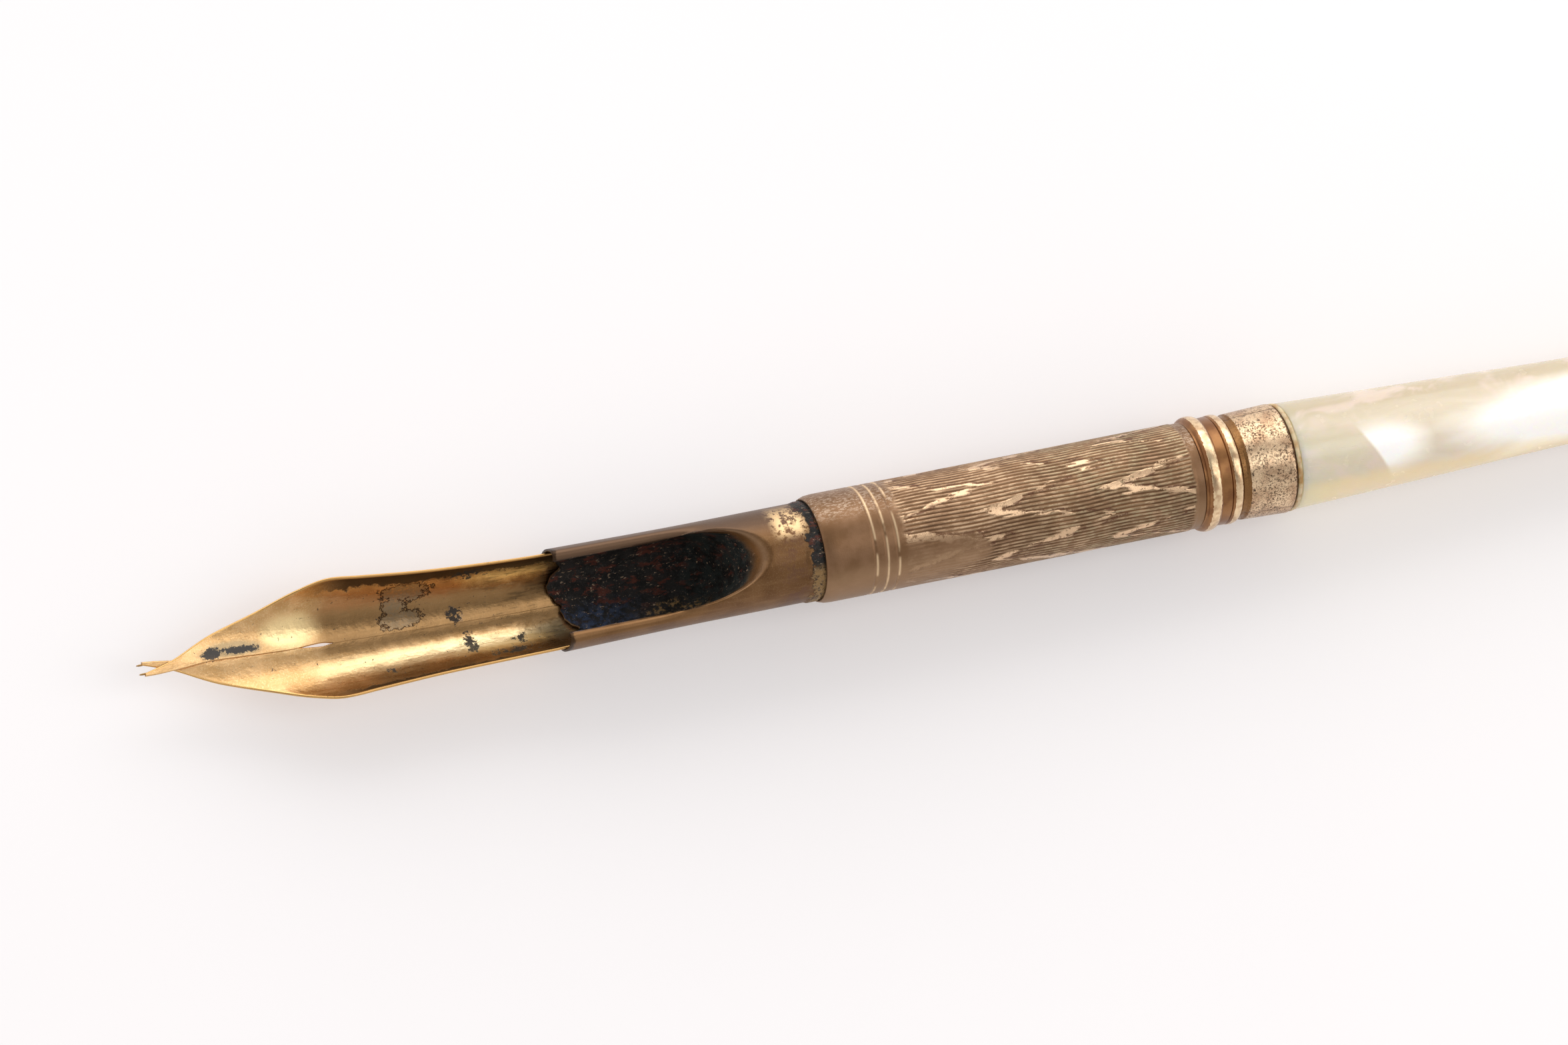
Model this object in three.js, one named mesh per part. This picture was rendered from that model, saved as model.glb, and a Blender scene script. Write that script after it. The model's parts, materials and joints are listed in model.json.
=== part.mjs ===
// Dip pen lying on a desk: a gold nib pushed into a pressed nib holder, which is pushed into a
// chased metal ferrule on a tapering mother-of-pearl handle.
// Millimetres. Inside the pen's own group +X runs from the writing point to the tail and the
// hollow side of the nib faces +Z. The group is then laid down so that the large bead and the
// tail touch Z = 0, and the outline's centre stands over the origin.
import * as THREE from 'three';
import { mergeVertices } from 'three/addons/utils/BufferGeometryUtils.js';

// ---- driving dimensions, as distances along the pen from the writing point ----
const POINT_LENGTH = 0.38;         // welded grain at the end of each tine
const SLIT_END = 14.0;             // root of the slit, where the tines flex
const LEAN_END = 28.2;             // in front of this the bent nib leans to the left
const HOLDER_MOUTH = 28.8;         // front rim of the nib holder
const NIB_HEEL = 37.5;             // back edge of the nib, inside the holder
const SCOOP_FLOOR_END = 38.9;      // where the pressed tongue starts to climb
const SCOOP_END = 43.3;            // where it reaches the full round again
const FERRULE_MOUTH = 46.8;        // front rim of the chased sleeve
const HOLDER_TAIL = 58.8;          // back end of the nib holder, inside the sleeve
const LINER_START = 61.5;          // lining tube that the back rings are pressed onto
const CORE_START = 64.0;           // wooden core in the lining tube
const DOWEL_START = 65.0;          // metal pin that joins the core to the handle
const DOWEL_END = 92.0;
const SPIGOT_START = 73.4;         // turned-down front end of the handle
const CHANNEL_LENGTH = 0.6;        // plain channel at the back end of the sleeve
const SLEEVE_END = 74.3;
const LARGE_BEAD_MIDDLE = 74.95;
const LARGE_BEAD_END = 76.2;
const SMALL_BEAD_MIDDLE = 76.6;
const SMALL_BEAD_END = 77.0;
const BAND_END = 81.0;
const CEMENT_END = 81.3;
const TAIL_DOME = 1.6;             // length of the rounded end
const TAIL_END = 166.0;

// ---- radii ----
const HOLDER_RADIUS = 3.36;
const HOLDER_FLARE = 0.16;         // the pressed mouth is this much wider than the round part
const SLEEVE_RADIUS = 3.70;
const RING_GROOVES = [3.5, 4.3, 5.1];  // engraved rings, as distances behind the sleeve's rim
const GROOVE_DEPTH = 0.08;
const GROOVE_HALF_WIDTH = 0.16;
const LARGE_BEAD_RADIUS = 3.98;
const LARGE_BEAD_FOOT = 3.68;
const SMALL_BEAD_RADIUS = 3.79;
const SMALL_BEAD_FOOT = 3.62;
const BAND_CHANNEL_RADIUS = 3.56;
const BAND_FRONT_RADIUS = 3.64;
const BAND_REAR_RADIUS = 3.78;
const PEARL_RADIUS = 3.70;
const TAIL_RADIUS = 1.70;
const LINER_RADIUS = 3.30;
const SPIGOT_RADIUS = 2.95;
const DOWEL_RADIUS = 1.0;

// ---- sheet, gaps and facets ----
const HOLDER_WALL = 0.18;
const NIB_SHEET = 0.18;
const LINER_WALL = 0.30;
const SLOT = 0.32;                 // crescent slot for the nib, behind the flare
const FIT_GAP = 0.05;              // clearance between neighbours
const ROUND_SIDES = 32;            // facets of every turned piece
const LOOP_SIDES = 48;             // points round the pressed holder
const MOUTH_HALF_ANGLE = THREE.MathUtils.degToRad(62);  // from the top to the folded edge

// ---- the sprung nib ----
const NIB_LEAN = 0.95;             // how far the point stands to the left of the axis
const TINE_LIFT = 0.3;             // how far the left tine rides above the right one
const SLIT_HALF_WIDTH = 0.03;

// ---- shares of half the way round the pressed holder, from the bottom to the top ----
const WALL_SHARE = 0.44;           // the outer wall ends here and the fold begins
const FOLD_SHARE = 0.56;           // the fold ends here and the tongue begins

const smooth = (from, to, value) => THREE.MathUtils.smoothstep(value, from, to);
const mix = THREE.MathUtils.lerp;

// A smooth curve through [distance, value] pairs, read at any distance.
function curveThrough(pairs) {
  return (at) => {
    const last = pairs.length - 1;
    let i = 0;
    while (i < last - 1 && at > pairs[i + 1][0]) i += 1;
    const slope = (k) => {
      const [a, b] = [pairs[Math.max(k - 1, 0)], pairs[Math.min(k + 1, last)]];
      return (b[1] - a[1]) / (b[0] - a[0]);
    };
    const [x0, y0] = pairs[i];
    const [x1, y1] = pairs[i + 1];
    const span = x1 - x0;
    const t = THREE.MathUtils.clamp((at - x0) / span, 0, 1);
    const bend0 = slope(i) * span;
    const bend1 = slope(i + 1) * span;
    return y0 * (1 + 2 * t) * (1 - t) ** 2 + bend0 * t * (1 - t) ** 2
      + y1 * t * t * (3 - 2 * t) + bend1 * t * t * (t - 1);
  };
}

// ---- materials ----
const paint = (color, roughness, metalness = 0) => (
  new THREE.MeshStandardMaterial({ color, roughness, metalness })
);
const metal = (color, roughness) => paint(color, roughness, 1);
const MATERIALS = {
  gold: metal(0xc79a55, 0.3),
  point: metal(0x8d8a86, 0.25),
  tarnishedBrass: metal(0x7d6140, 0.4),
  gilt: metal(0xa98765, 0.35),
  brass: metal(0xb08d4c, 0.4),
  wood: paint(0x9b7449, 0.7),
  cement: paint(0xb98a3a, 0.6),
  pearl: paint(0xe9dfcb, 0.2),
};

const pen = new THREE.Group();

function add(name, geometry, material) {
  const mesh = new THREE.Mesh(geometry, material);
  mesh.name = name;
  pen.add(mesh);
  return mesh;
}

// A piece turned about the pen's axis. The profile is a closed loop of [distance, radius], listed
// tailwards along the outside and back along the inside, or from axis to axis on a solid piece.
function turned(profile) {
  const points = profile.map(([x, r]) => new THREE.Vector2(r, x));
  const hollow = profile.every(([, r]) => r > 0);
  if (hollow) points.push(points[0].clone());
  const halfFacet = Math.PI / ROUND_SIDES;
  const geometry = new THREE.LatheGeometry(points, ROUND_SIDES, halfFacet);
  return geometry.rotateZ(-Math.PI / 2);
}

function meshFrom(vertices, triangles) {
  const geometry = new THREE.BufferGeometry();
  geometry.setAttribute('position', new THREE.Float32BufferAttribute(vertices.flat(), 3));
  geometry.setIndex(triangles.flat());
  const merged = mergeVertices(geometry, 1e-4);
  merged.computeVertexNormals();
  return merged;
}

// A sheet of even thickness on a grid of cells. surface(row, column) gives the middle of the sheet
// and its normal; every edge that only one cell uses is walled, so that the result is closed.
function thickSheet(rows, columns, surface, thickness) {
  const vertices = [];
  const triangles = [];
  const id = (row, column, side) => (row * (columns + 1) + column) * 2 + side;
  for (let row = 0; row <= rows; row += 1) {
    for (let column = 0; column <= columns; column += 1) {
      const { middle, normal } = surface(row, column);
      const half = normal.clone().multiplyScalar(thickness / 2);
      vertices.push(middle.clone().sub(half).toArray(), middle.clone().add(half).toArray());
    }
  }
  const quad = (a, b, c, d) => triangles.push([a, b, c], [a, c, d]);
  for (let row = 0; row < rows; row += 1) {
    for (let column = 0; column < columns; column += 1) {
      const corners = [[row, column], [row + 1, column], [row + 1, column + 1], [row, column + 1]];
      quad(...corners.map(([r, c]) => id(r, c, 1)));
      quad(...corners.map(([r, c]) => id(r, c, 0)).reverse());
    }
  }
  for (let row = 0; row < rows; row += 1) {
    quad(id(row, 0, 0), id(row + 1, 0, 0), id(row + 1, 0, 1), id(row, 0, 1));
    quad(id(row + 1, columns, 0), id(row, columns, 0), id(row, columns, 1), id(row + 1, columns, 1));
  }
  for (let column = 0; column < columns; column += 1) {
    quad(id(0, column + 1, 0), id(0, column, 0), id(0, column, 1), id(0, column + 1, 1));
    quad(id(rows, column, 0), id(rows, column + 1, 0), id(rows, column + 1, 1), id(rows, column, 1));
  }
  return meshFrom(vertices, triangles);
}

// ---- nib ----
// Half the width of the flat blank, the radius that it is rolled to, and the height of its spine.
const nibHalfWidth = curveThrough([
  [0.3, 0.2], [1.2, 0.36], [2.7, 0.66], [5.3, 1.55], [8.9, 2.8], [11.8, 4.2], [13.6, 5.02],
  [16, 4.95], [23, 4.8], [38, 4.7],
]);
const nibRollRadius = curveThrough([
  [0.3, 7], [8, 5.2], [13.6, 4.4], [19, 3.68], [23, 3.4], [28.2, 3.21], [38, 3.04],
]);
const nibSpineHeight = curveThrough([
  [0.3, -1.3], [5, -2.15], [9.6, -2.84], [14, -3.16], [19, -3.26], [28.2, -3.21], [38, -3.04],
]);
// How far each sprung tine has moved across the middle: the slit gapes near its root, closes, and
// the tines cross in the last few millimetres.
const tineShift = curveThrough([
  [0.3, 0.45], [1.2, 0.42], [2.7, 0.28], [4.4, 0.08], [5.6, 0], [9.4, 0], [12.3, -0.05], [14, 0],
]);
const tineLift = (x) => TINE_LIFT * (1 - smooth(5, SLIT_END - 1, x));

const nibLean = (x) => NIB_LEAN * Math.max(0, 1 - x / LEAN_END) ** 1.2;

// Middle of the nib's sheet at distance x. share runs from 0 at the slit to 1 at the left edge
// (+Y) and to -1 at the right edge.
function nibPoint(x, share) {
  const radius = nibRollRadius(x);
  const angle = (nibHalfWidth(x) / radius) * share;
  return new THREE.Vector3(
    x,
    nibLean(x) + radius * Math.sin(angle),
    nibSpineHeight(x) + radius * (1 - Math.cos(angle)),
  );
}

function nibNormal(point, x, share) {
  const step = 0.01;
  const along = point(x + step, share).sub(point(x - step, share));
  const across = point(x, share + step).sub(point(x, share - step));
  return along.cross(across).normalize();
}

function nibSheet(point, start, end, rows, shareFrom, shareTo, columns) {
  return thickSheet(rows, columns, (row, column) => {
    const x = mix(start, end, row / rows);
    const share = mix(shareFrom, shareTo, column / columns);
    return { middle: point(x, share), normal: nibNormal(point, x, share) };
  }, NIB_SHEET);
}

function tinePoint(side) {
  return (x, share) => {
    const slitShare = (SLIT_HALF_WIDTH / nibHalfWidth(x)) * side;
    const point = nibPoint(x, mix(slitShare, side, Math.abs(share)));
    point.y -= side * tineShift(x);
    if (side > 0) point.z += tineLift(x);
    return point;
  };
}

function addNib() {
  add('nib_body', nibSheet(nibPoint, SLIT_END + FIT_GAP, NIB_HEEL, 10, -1, 1, 14), MATERIALS.gold);
  for (const [name, side] of [['left', 1], ['right', -1]]) {
    const point = tinePoint(side);
    const [from, to] = side > 0 ? [0.001, 1] : [-1, -0.001];
    add(`tine_${name}`, nibSheet(point, POINT_LENGTH, SLIT_END, 16, from, to, 5), MATERIALS.gold);
    const tip = point(POINT_LENGTH, side * 0.5);
    const grain = new THREE.SphereGeometry(1, 8, 6);
    grain.scale(POINT_LENGTH / 2 - 0.01, 0.13, 0.14);
    grain.translate(POINT_LENGTH / 2 - 0.01, tip.y, tip.z - 0.05);
    add(`point_${name}`, grain, MATERIALS.point);
  }
}

// ---- nib holder ----
// Round behind the scoop. In front of it the top of the tube is pressed down onto the bottom, which
// leaves a crescent slot for the nib between the outer wall and the pressed tongue.
const flareLeft = (x) => 1 - smooth(HOLDER_MOUTH - 4, SCOOP_FLOOR_END, x);
const holderRadius = (x) => HOLDER_RADIUS + HOLDER_FLARE * flareLeft(x);

// How far the tongue has climbed back to the full round at distance x, from 0 to 1. rest runs from
// 0 at the folded edge to 1 in the middle, so that the scoop ends in a round thumbnail.
function tongueClimb(x, rest) {
  const nearMiddle = Math.sqrt(1 - (1 - rest) ** 2);
  const start = SCOOP_FLOOR_END - 3.4 * (1 - nearMiddle);
  const end = SCOOP_END - 3.2 * (1 - nearMiddle);
  return smooth(start, end, x);
}

// One skin of the holder's section, inset from the outside, as a point for a share of the way
// round: 0 at the bottom, 0.5 in the middle of the tongue or, where the tube is round, at the top.
function holderSkin(x, share, inset) {
  const radius = holderRadius(x);
  const side = share <= 0.5 ? 1 : -1;
  const walk = 2 * (share <= 0.5 ? share : 1 - share);
  const fold = Math.PI - MOUTH_HALF_ANGLE;
  const outer = radius - inset;
  const slot = SLOT + radius - HOLDER_RADIUS;
  const foldCentre = radius - HOLDER_WALL - slot / 2;
  const foldRadius = outer - foldCentre;
  const polar = (r, angle) => [r * Math.sin(angle), -r * Math.cos(angle)];
  if (walk <= WALL_SHARE) {
    const [y, z] = polar(outer, (fold * walk) / WALL_SHARE);
    return [side * y, z];
  }
  const rest = (walk - WALL_SHARE) / (1 - WALL_SHARE);
  const roundEnd = polar(outer, mix(fold, Math.PI, rest));
  let pressed;
  if (walk <= FOLD_SHARE) {
    const turn = (Math.PI * (walk - WALL_SHARE)) / (FOLD_SHARE - WALL_SHARE);
    const [cy, cz] = polar(foldCentre, fold);
    const [ry, rz] = polar(foldRadius * Math.cos(turn), fold);
    const [ty, tz] = [Math.cos(fold), Math.sin(fold)];
    const out = foldRadius * Math.sin(turn);
    pressed = [cy + ry + ty * out, cz + rz + tz * out];
  } else {
    const back = (walk - FOLD_SHARE) / (1 - FOLD_SHARE);
    pressed = polar(foldCentre - foldRadius, fold * (1 - back));
  }
  const climb = tongueClimb(x, rest);
  return [side * mix(pressed[0], roundEnd[0], climb), mix(pressed[1], roundEnd[1], climb)];
}

// The tongue is cut back from the mouth, to a slanting edge of a few lobes.
function holderFront(share) {
  const tongue = smooth(0.27, 0.32, share) * (1 - smooth(0.68, 0.73, share));
  const lobes = 0.45 * Math.abs(Math.sin(share * Math.PI * 9));
  return HOLDER_MOUTH + tongue * (1.2 + 2.4 * (0.5 - share) - lobes);
}

function addHolder() {
  const stations = [0, 0.1, 0.22, 0.3, 0.35, 0.39, 0.42, 0.445, 0.47, 0.495, 0.52, 0.56, 1];
  const vertices = [];
  const triangles = [];
  const id = (ring, i, skin) => (ring * LOOP_SIDES + (i % LOOP_SIDES)) * 2 + skin;
  stations.forEach((station) => {
    for (let i = 0; i < LOOP_SIDES; i += 1) {
      const share = i / LOOP_SIDES;
      const x = mix(holderFront(share), HOLDER_TAIL, station);
      for (const inset of [0, HOLDER_WALL]) vertices.push([x, ...holderSkin(x, share, inset)]);
    }
  });
  const quad = (a, b, c, d) => triangles.push([a, b, c], [a, c, d]);
  for (let i = 0; i < LOOP_SIDES; i += 1) {
    for (let ring = 0; ring < stations.length - 1; ring += 1) {
      quad(id(ring, i + 1, 0), id(ring + 1, i + 1, 0), id(ring + 1, i, 0), id(ring, i, 0));
      quad(id(ring, i, 1), id(ring + 1, i, 1), id(ring + 1, i + 1, 1), id(ring, i + 1, 1));
    }
    const back = stations.length - 1;
    quad(id(0, i + 1, 1), id(0, i + 1, 0), id(0, i, 0), id(0, i, 1));
    quad(id(back, i + 1, 0), id(back, i + 1, 1), id(back, i, 1), id(back, i, 0));
  }
  add('nib_holder', meshFrom(vertices, triangles), MATERIALS.tarnishedBrass);
}

// ---- ferrule ----
function addFerrule() {
  const bore = HOLDER_RADIUS + FIT_GAP;
  const grooves = RING_GROOVES.map((back) => FERRULE_MOUTH + back).flatMap((x) => [
    [x - GROOVE_HALF_WIDTH, SLEEVE_RADIUS],
    [x, SLEEVE_RADIUS - GROOVE_DEPTH],
    [x + GROOVE_HALF_WIDTH, SLEEVE_RADIUS],
  ]);
  const channelStart = SLEEVE_END - CHANNEL_LENGTH;
  const channelRadius = SLEEVE_RADIUS - GROOVE_DEPTH;
  add('chased_sleeve', turned([
    [FERRULE_MOUTH, bore + 0.06], [FERRULE_MOUTH + 0.25, SLEEVE_RADIUS - 0.1],
    [FERRULE_MOUTH + 0.9, SLEEVE_RADIUS],
    ...grooves,
    [channelStart, SLEEVE_RADIUS], [channelStart + 0.1, channelRadius],
    [SLEEVE_END - FIT_GAP, channelRadius], [SLEEVE_END - FIT_GAP, bore], [FERRULE_MOUTH, bore],
  ]), MATERIALS.tarnishedBrass);

  const seat = LINER_RADIUS + FIT_GAP;
  const bead = (start, end, foot, middle, halfWidth, crest) => turned([
    [start, seat], [start, foot], [middle - halfWidth, foot],
    [middle - 0.7 * halfWidth, mix(foot, crest, 0.7)],
    [middle - 0.3 * halfWidth, crest], [middle + 0.3 * halfWidth, crest],
    [middle + 0.7 * halfWidth, mix(foot, crest, 0.7)],
    [middle + halfWidth, foot], [end, foot], [end, seat],
  ]);
  add('large_bead_ring',
    bead(
      SLEEVE_END, LARGE_BEAD_END - FIT_GAP, LARGE_BEAD_FOOT,
      LARGE_BEAD_MIDDLE, 0.5, LARGE_BEAD_RADIUS,
    ),
    MATERIALS.gilt);
  add('small_bead_ring',
    bead(
      LARGE_BEAD_END, SMALL_BEAD_END, SMALL_BEAD_FOOT,
      SMALL_BEAD_MIDDLE, 0.36, SMALL_BEAD_RADIUS,
    ),
    MATERIALS.gilt);
  const bandStart = SMALL_BEAD_END + FIT_GAP;
  add('rear_band', turned([
    [bandStart, seat], [bandStart, BAND_CHANNEL_RADIUS],
    [bandStart + 0.35, BAND_CHANNEL_RADIUS], [bandStart + 0.45, BAND_FRONT_RADIUS],
    [BAND_END - 0.2, BAND_REAR_RADIUS], [BAND_END, BAND_REAR_RADIUS - 0.1], [BAND_END, seat],
  ]), MATERIALS.gilt);

  add('lining_tube', turned([
    [LINER_START, LINER_RADIUS - LINER_WALL], [LINER_START, LINER_RADIUS],
    [BAND_END, LINER_RADIUS], [BAND_END, LINER_RADIUS - LINER_WALL],
  ]), MATERIALS.brass);
  add('wood_core', turned([
    [CORE_START, DOWEL_RADIUS + FIT_GAP], [CORE_START, SPIGOT_RADIUS],
    [SPIGOT_START - 0.2, SPIGOT_RADIUS], [SPIGOT_START - 0.2, DOWEL_RADIUS + FIT_GAP],
  ]), MATERIALS.wood);
}

// ---- handle ----
function addHandle() {
  const spigotTop = CEMENT_END + FIT_GAP;
  const domeStart = TAIL_END - TAIL_DOME;
  const pearlRadius = curveThrough([
    [spigotTop, PEARL_RADIUS], [91, 3.36], [101, 3.0], [113, 2.7], [128, 2.4], [146, 2.06],
    [domeStart, TAIL_RADIUS],
  ]);
  const outside = [];
  const steps = 12;
  for (let i = 0; i <= steps; i += 1) {
    const x = mix(spigotTop, domeStart, i / steps);
    outside.push([x, pearlRadius(x)]);
  }
  const dome = [];
  const domeSteps = 5;
  for (let i = 1; i < domeSteps; i += 1) {
    const turn = (i / domeSteps) * (Math.PI / 2);
    dome.push([domeStart + TAIL_DOME * Math.sin(turn), TAIL_RADIUS * Math.cos(turn)]);
  }
  add('pearl_handle', turned([
    [DOWEL_END + 0.2, 0], [DOWEL_END + 0.2, DOWEL_RADIUS + FIT_GAP],
    [SPIGOT_START, DOWEL_RADIUS + FIT_GAP], [SPIGOT_START, SPIGOT_RADIUS],
    [spigotTop, SPIGOT_RADIUS], ...outside, ...dome, [TAIL_END, 0],
  ]), MATERIALS.pearl);
  add('dowel_pin', turned([
    [DOWEL_START, 0], [DOWEL_START, DOWEL_RADIUS], [DOWEL_END, DOWEL_RADIUS], [DOWEL_END, 0],
  ]), MATERIALS.brass);
  add('cement_ring', turned([
    [BAND_END + 0.02, SPIGOT_RADIUS + FIT_GAP], [BAND_END + 0.02, PEARL_RADIUS - 0.02],
    [CEMENT_END, PEARL_RADIUS + 0.01], [CEMENT_END, SPIGOT_RADIUS + FIT_GAP],
  ]), MATERIALS.cement);
}

addNib();
addHolder();
addFerrule();
addHandle();

// ---- laying the pen down ----
// The pen turns about Y until the bead's flat and the tail's round end touch the same level.
const facetFlat = Math.cos(Math.PI / ROUND_SIDES);
const drop = (LARGE_BEAD_RADIUS - TAIL_RADIUS) * facetFlat;
const reach = TAIL_END - TAIL_DOME - LARGE_BEAD_MIDDLE;
const restTilt = Math.atan2(drop, reach);
pen.rotation.y = restTilt;
pen.updateMatrixWorld(true);
const outline = new THREE.Box3().setFromObject(pen, true);
const middle = outline.getCenter(new THREE.Vector3());
pen.position.set(-middle.x, -middle.y, -outline.min.z);

export default pen;
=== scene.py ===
# Looks of the dip pen: fine meshes, procedural materials, camera, table and studio light.
# The pieces are built in the pen's own frame, in millimetres: +X from the writing point to the
# tail, +Y to the left, +Z out of the nib's hollow side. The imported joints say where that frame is.
import json
import math

import bpy
import numpy as np
from mathutils import Matrix, Vector


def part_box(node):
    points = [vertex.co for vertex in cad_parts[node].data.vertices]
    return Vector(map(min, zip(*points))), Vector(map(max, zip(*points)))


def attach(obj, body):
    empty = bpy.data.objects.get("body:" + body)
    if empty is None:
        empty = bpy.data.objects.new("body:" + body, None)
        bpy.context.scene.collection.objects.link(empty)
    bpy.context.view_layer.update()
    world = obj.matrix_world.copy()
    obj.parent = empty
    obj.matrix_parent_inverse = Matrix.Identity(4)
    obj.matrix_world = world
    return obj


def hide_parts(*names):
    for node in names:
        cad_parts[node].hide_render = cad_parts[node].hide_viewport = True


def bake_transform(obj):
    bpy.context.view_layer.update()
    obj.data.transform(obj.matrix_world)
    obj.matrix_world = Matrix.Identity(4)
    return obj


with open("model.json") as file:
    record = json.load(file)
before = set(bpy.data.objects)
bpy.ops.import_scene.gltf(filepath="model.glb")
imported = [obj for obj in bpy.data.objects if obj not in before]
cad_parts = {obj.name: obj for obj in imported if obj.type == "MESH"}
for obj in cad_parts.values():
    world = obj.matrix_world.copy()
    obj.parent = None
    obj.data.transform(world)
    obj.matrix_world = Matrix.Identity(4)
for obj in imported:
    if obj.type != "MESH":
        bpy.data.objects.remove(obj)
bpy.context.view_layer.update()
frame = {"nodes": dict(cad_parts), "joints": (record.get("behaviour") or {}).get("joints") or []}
JOINTS = {joint["name"]: joint for joint in frame["joints"]}

# ---- stations along the pen, as in the CAD but for 0.05 mm of air between the rings ----
POINT_LENGTH = 0.38
SLIT_END = 14.0
LEAN_END = 28.2
HOLDER_MOUTH = 28.8
NIB_HEEL = 37.5
SCOOP_FLOOR_END = 38.9
SCOOP_END = 43.3
FERRULE_MOUTH = 46.8
HOLDER_TAIL = 58.8
SPIGOT_START = 73.4
SLEEVE_END = 74.25
LARGE_BEAD_MIDDLE = 74.95
LARGE_BEAD_END = 76.15
SMALL_BEAD_MIDDLE = 76.6
SMALL_BEAD_END = 77.0
BAND_BODY_START = 77.5
BAND_END = 81.0
CEMENT_END = 81.3
TAIL_DOME = 1.6
TAIL_END = 166.0
RING_GAP = 0.05

# ---- radii and sheets ----
HOLDER_RADIUS = 3.36
HOLDER_FLARE = 0.16
HOLDER_WALL = 0.18
SLOT = 0.32
NIB_SHEET = 0.18
SLEEVE_RADIUS = 3.70
SLEEVE_BORE = 3.41
RING_BORE = 3.35
LARGE_BEAD_RADIUS = 3.975
SMALL_BEAD_RADIUS = 3.785
BAND_CHANNEL_RADIUS = 3.55
BAND_FRONT_RADIUS = 3.64
BAND_REAR_RADIUS = 3.78
PEARL_RADIUS = 3.70
TAIL_RADIUS = 1.70
SPIGOT_RADIUS = 2.95
MM = 0.001


# ---- the pen's own frame ----
def pen_frame():
    """Columns of the pen's axes and its origin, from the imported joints."""
    along = -np.array(JOINTS["holder_pull"]["axis"], float)
    across = np.array([0.0, 1.0, 0.0])
    up = np.cross(along, across)
    axes = np.column_stack([along, across, up])
    slit_root = np.array([SLIT_END, float(nib_lean(SLIT_END)), float(nib_spine(SLIT_END))])
    origin = np.array(JOINTS["left_tine_flex"]["pos_m"], float) - axes @ slit_root * MM
    return axes, origin


def curve_through(*pairs):
    """A smooth curve through (distance, value) pairs."""
    xs = np.array([pair[0] for pair in pairs], float)
    ys = np.array([pair[1] for pair in pairs], float)
    slopes = np.empty_like(ys)
    slopes[1:-1] = (ys[2:] - ys[:-2]) / (xs[2:] - xs[:-2])
    slopes[0] = (ys[1] - ys[0]) / (xs[1] - xs[0])
    slopes[-1] = (ys[-1] - ys[-2]) / (xs[-1] - xs[-2])

    def read(at):
        at = np.asarray(at, float)
        i = np.clip(np.searchsorted(xs, at, side="right") - 1, 0, len(xs) - 2)
        span = xs[i + 1] - xs[i]
        t = np.clip((at - xs[i]) / span, 0, 1)
        return (
            ys[i] * (1 + 2 * t) * (1 - t) ** 2
            + slopes[i] * span * t * (1 - t) ** 2
            + ys[i + 1] * t * t * (3 - 2 * t)
            + slopes[i + 1] * span * t * t * (t - 1)
        )

    return read


def smooth(start, end, value):
    t = np.clip((value - start) / (end - start), 0, 1)
    return t * t * (3 - 2 * t)


def hump(value, middle, spread):
    """1 at the middle, falling away to 0 on both sides."""
    return np.exp(-((value - middle) / spread) ** 2)


def mix(a, b, share):
    return a + (b - a) * share


def value_noise(points, size, seed=0):
    """Smooth noise from 0 to 1 at an array of points, the same on every run."""
    q = np.asarray(points, float) / size
    cell = np.floor(q).astype(np.int64)
    f = q - cell
    f = f * f * (3 - 2 * f)
    total = np.zeros(q.shape[:-1])
    for corner in range(8):
        offset = np.array([corner & 1, corner >> 1 & 1, corner >> 2 & 1])
        weight = np.prod(np.where(offset == 1, f, 1 - f), axis=-1)
        key = (cell + offset) * np.array([73856093, 19349663, 83492791])
        n = key[..., 0] ^ key[..., 1] ^ key[..., 2] ^ (seed * 2654435761)
        n = (n ^ (n >> 13)) * 1274126177
        n = (n ^ (n >> 16)) & 0xFFFF
        total += weight * n / 0xFFFF
    return total


def rough_noise(points, size, seed=0, octaves=3):
    total, weight = 0, 0
    for octave in range(octaves):
        share = 0.5 ** octave
        total = total + share * value_noise(points, size * share, seed + octave)
        weight += share
    return total / weight


# ---- meshes ----
def add_object(name, data):
    made = bpy.data.objects.new(name, data)
    bpy.context.scene.collection.objects.link(made)
    return made


def piece(name, points, faces, material, body, replaced, slot, **values):
    """A mesh object from points in the pen's frame. Each value is a number per point for materials."""
    points = points.reshape(-1, 3)
    mesh = bpy.data.meshes.new(name)
    mesh.from_pydata(to_world(points).tolist(), [], faces)
    mesh.polygons.foreach_set("use_smooth", [True] * len(mesh.polygons))
    pen = mesh.attributes.new("pen", "FLOAT_VECTOR", "POINT")
    pen.data.foreach_set("vector", points.astype(np.float32).ravel())
    for key, value in values.items():
        layer = mesh.attributes.new(key, "FLOAT", "POINT")
        layer.data.foreach_set("value", np.asarray(value, np.float32).ravel())
    mesh.materials.append(material)
    mesh.update()
    made = add_object(name, mesh)
    if body:
        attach(made, body)
    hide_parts(*replaced)
    return made


def loop_faces(rings, sides, closed_ends=False):
    """Quads between rings of points that close on themselves; closed_ends joins last ring to first."""
    ring = np.arange(rings if closed_ends else rings - 1)
    side = np.arange(sides)
    r, s = np.meshgrid(ring, side, indexing="ij")
    r2, s2 = (r + 1) % rings, (s + 1) % sides
    quads = np.stack([r * sides + s, r * sides + s2, r2 * sides + s2, r2 * sides + s], axis=-1)
    return quads.reshape(-1, 4)


def turned_points(profile, sides):
    """Points of a closed profile of (distance, radius) turned about the axis, sides by profile."""
    angle = np.arange(sides) / sides * 2 * math.pi
    profile = np.asarray(profile, float)
    x = np.broadcast_to(profile[None, :, 0], (sides, len(profile)))
    r = profile[None, :, 1]
    return np.stack([x, r * np.sin(angle)[:, None], r * np.cos(angle)[:, None]], axis=-1)


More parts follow.
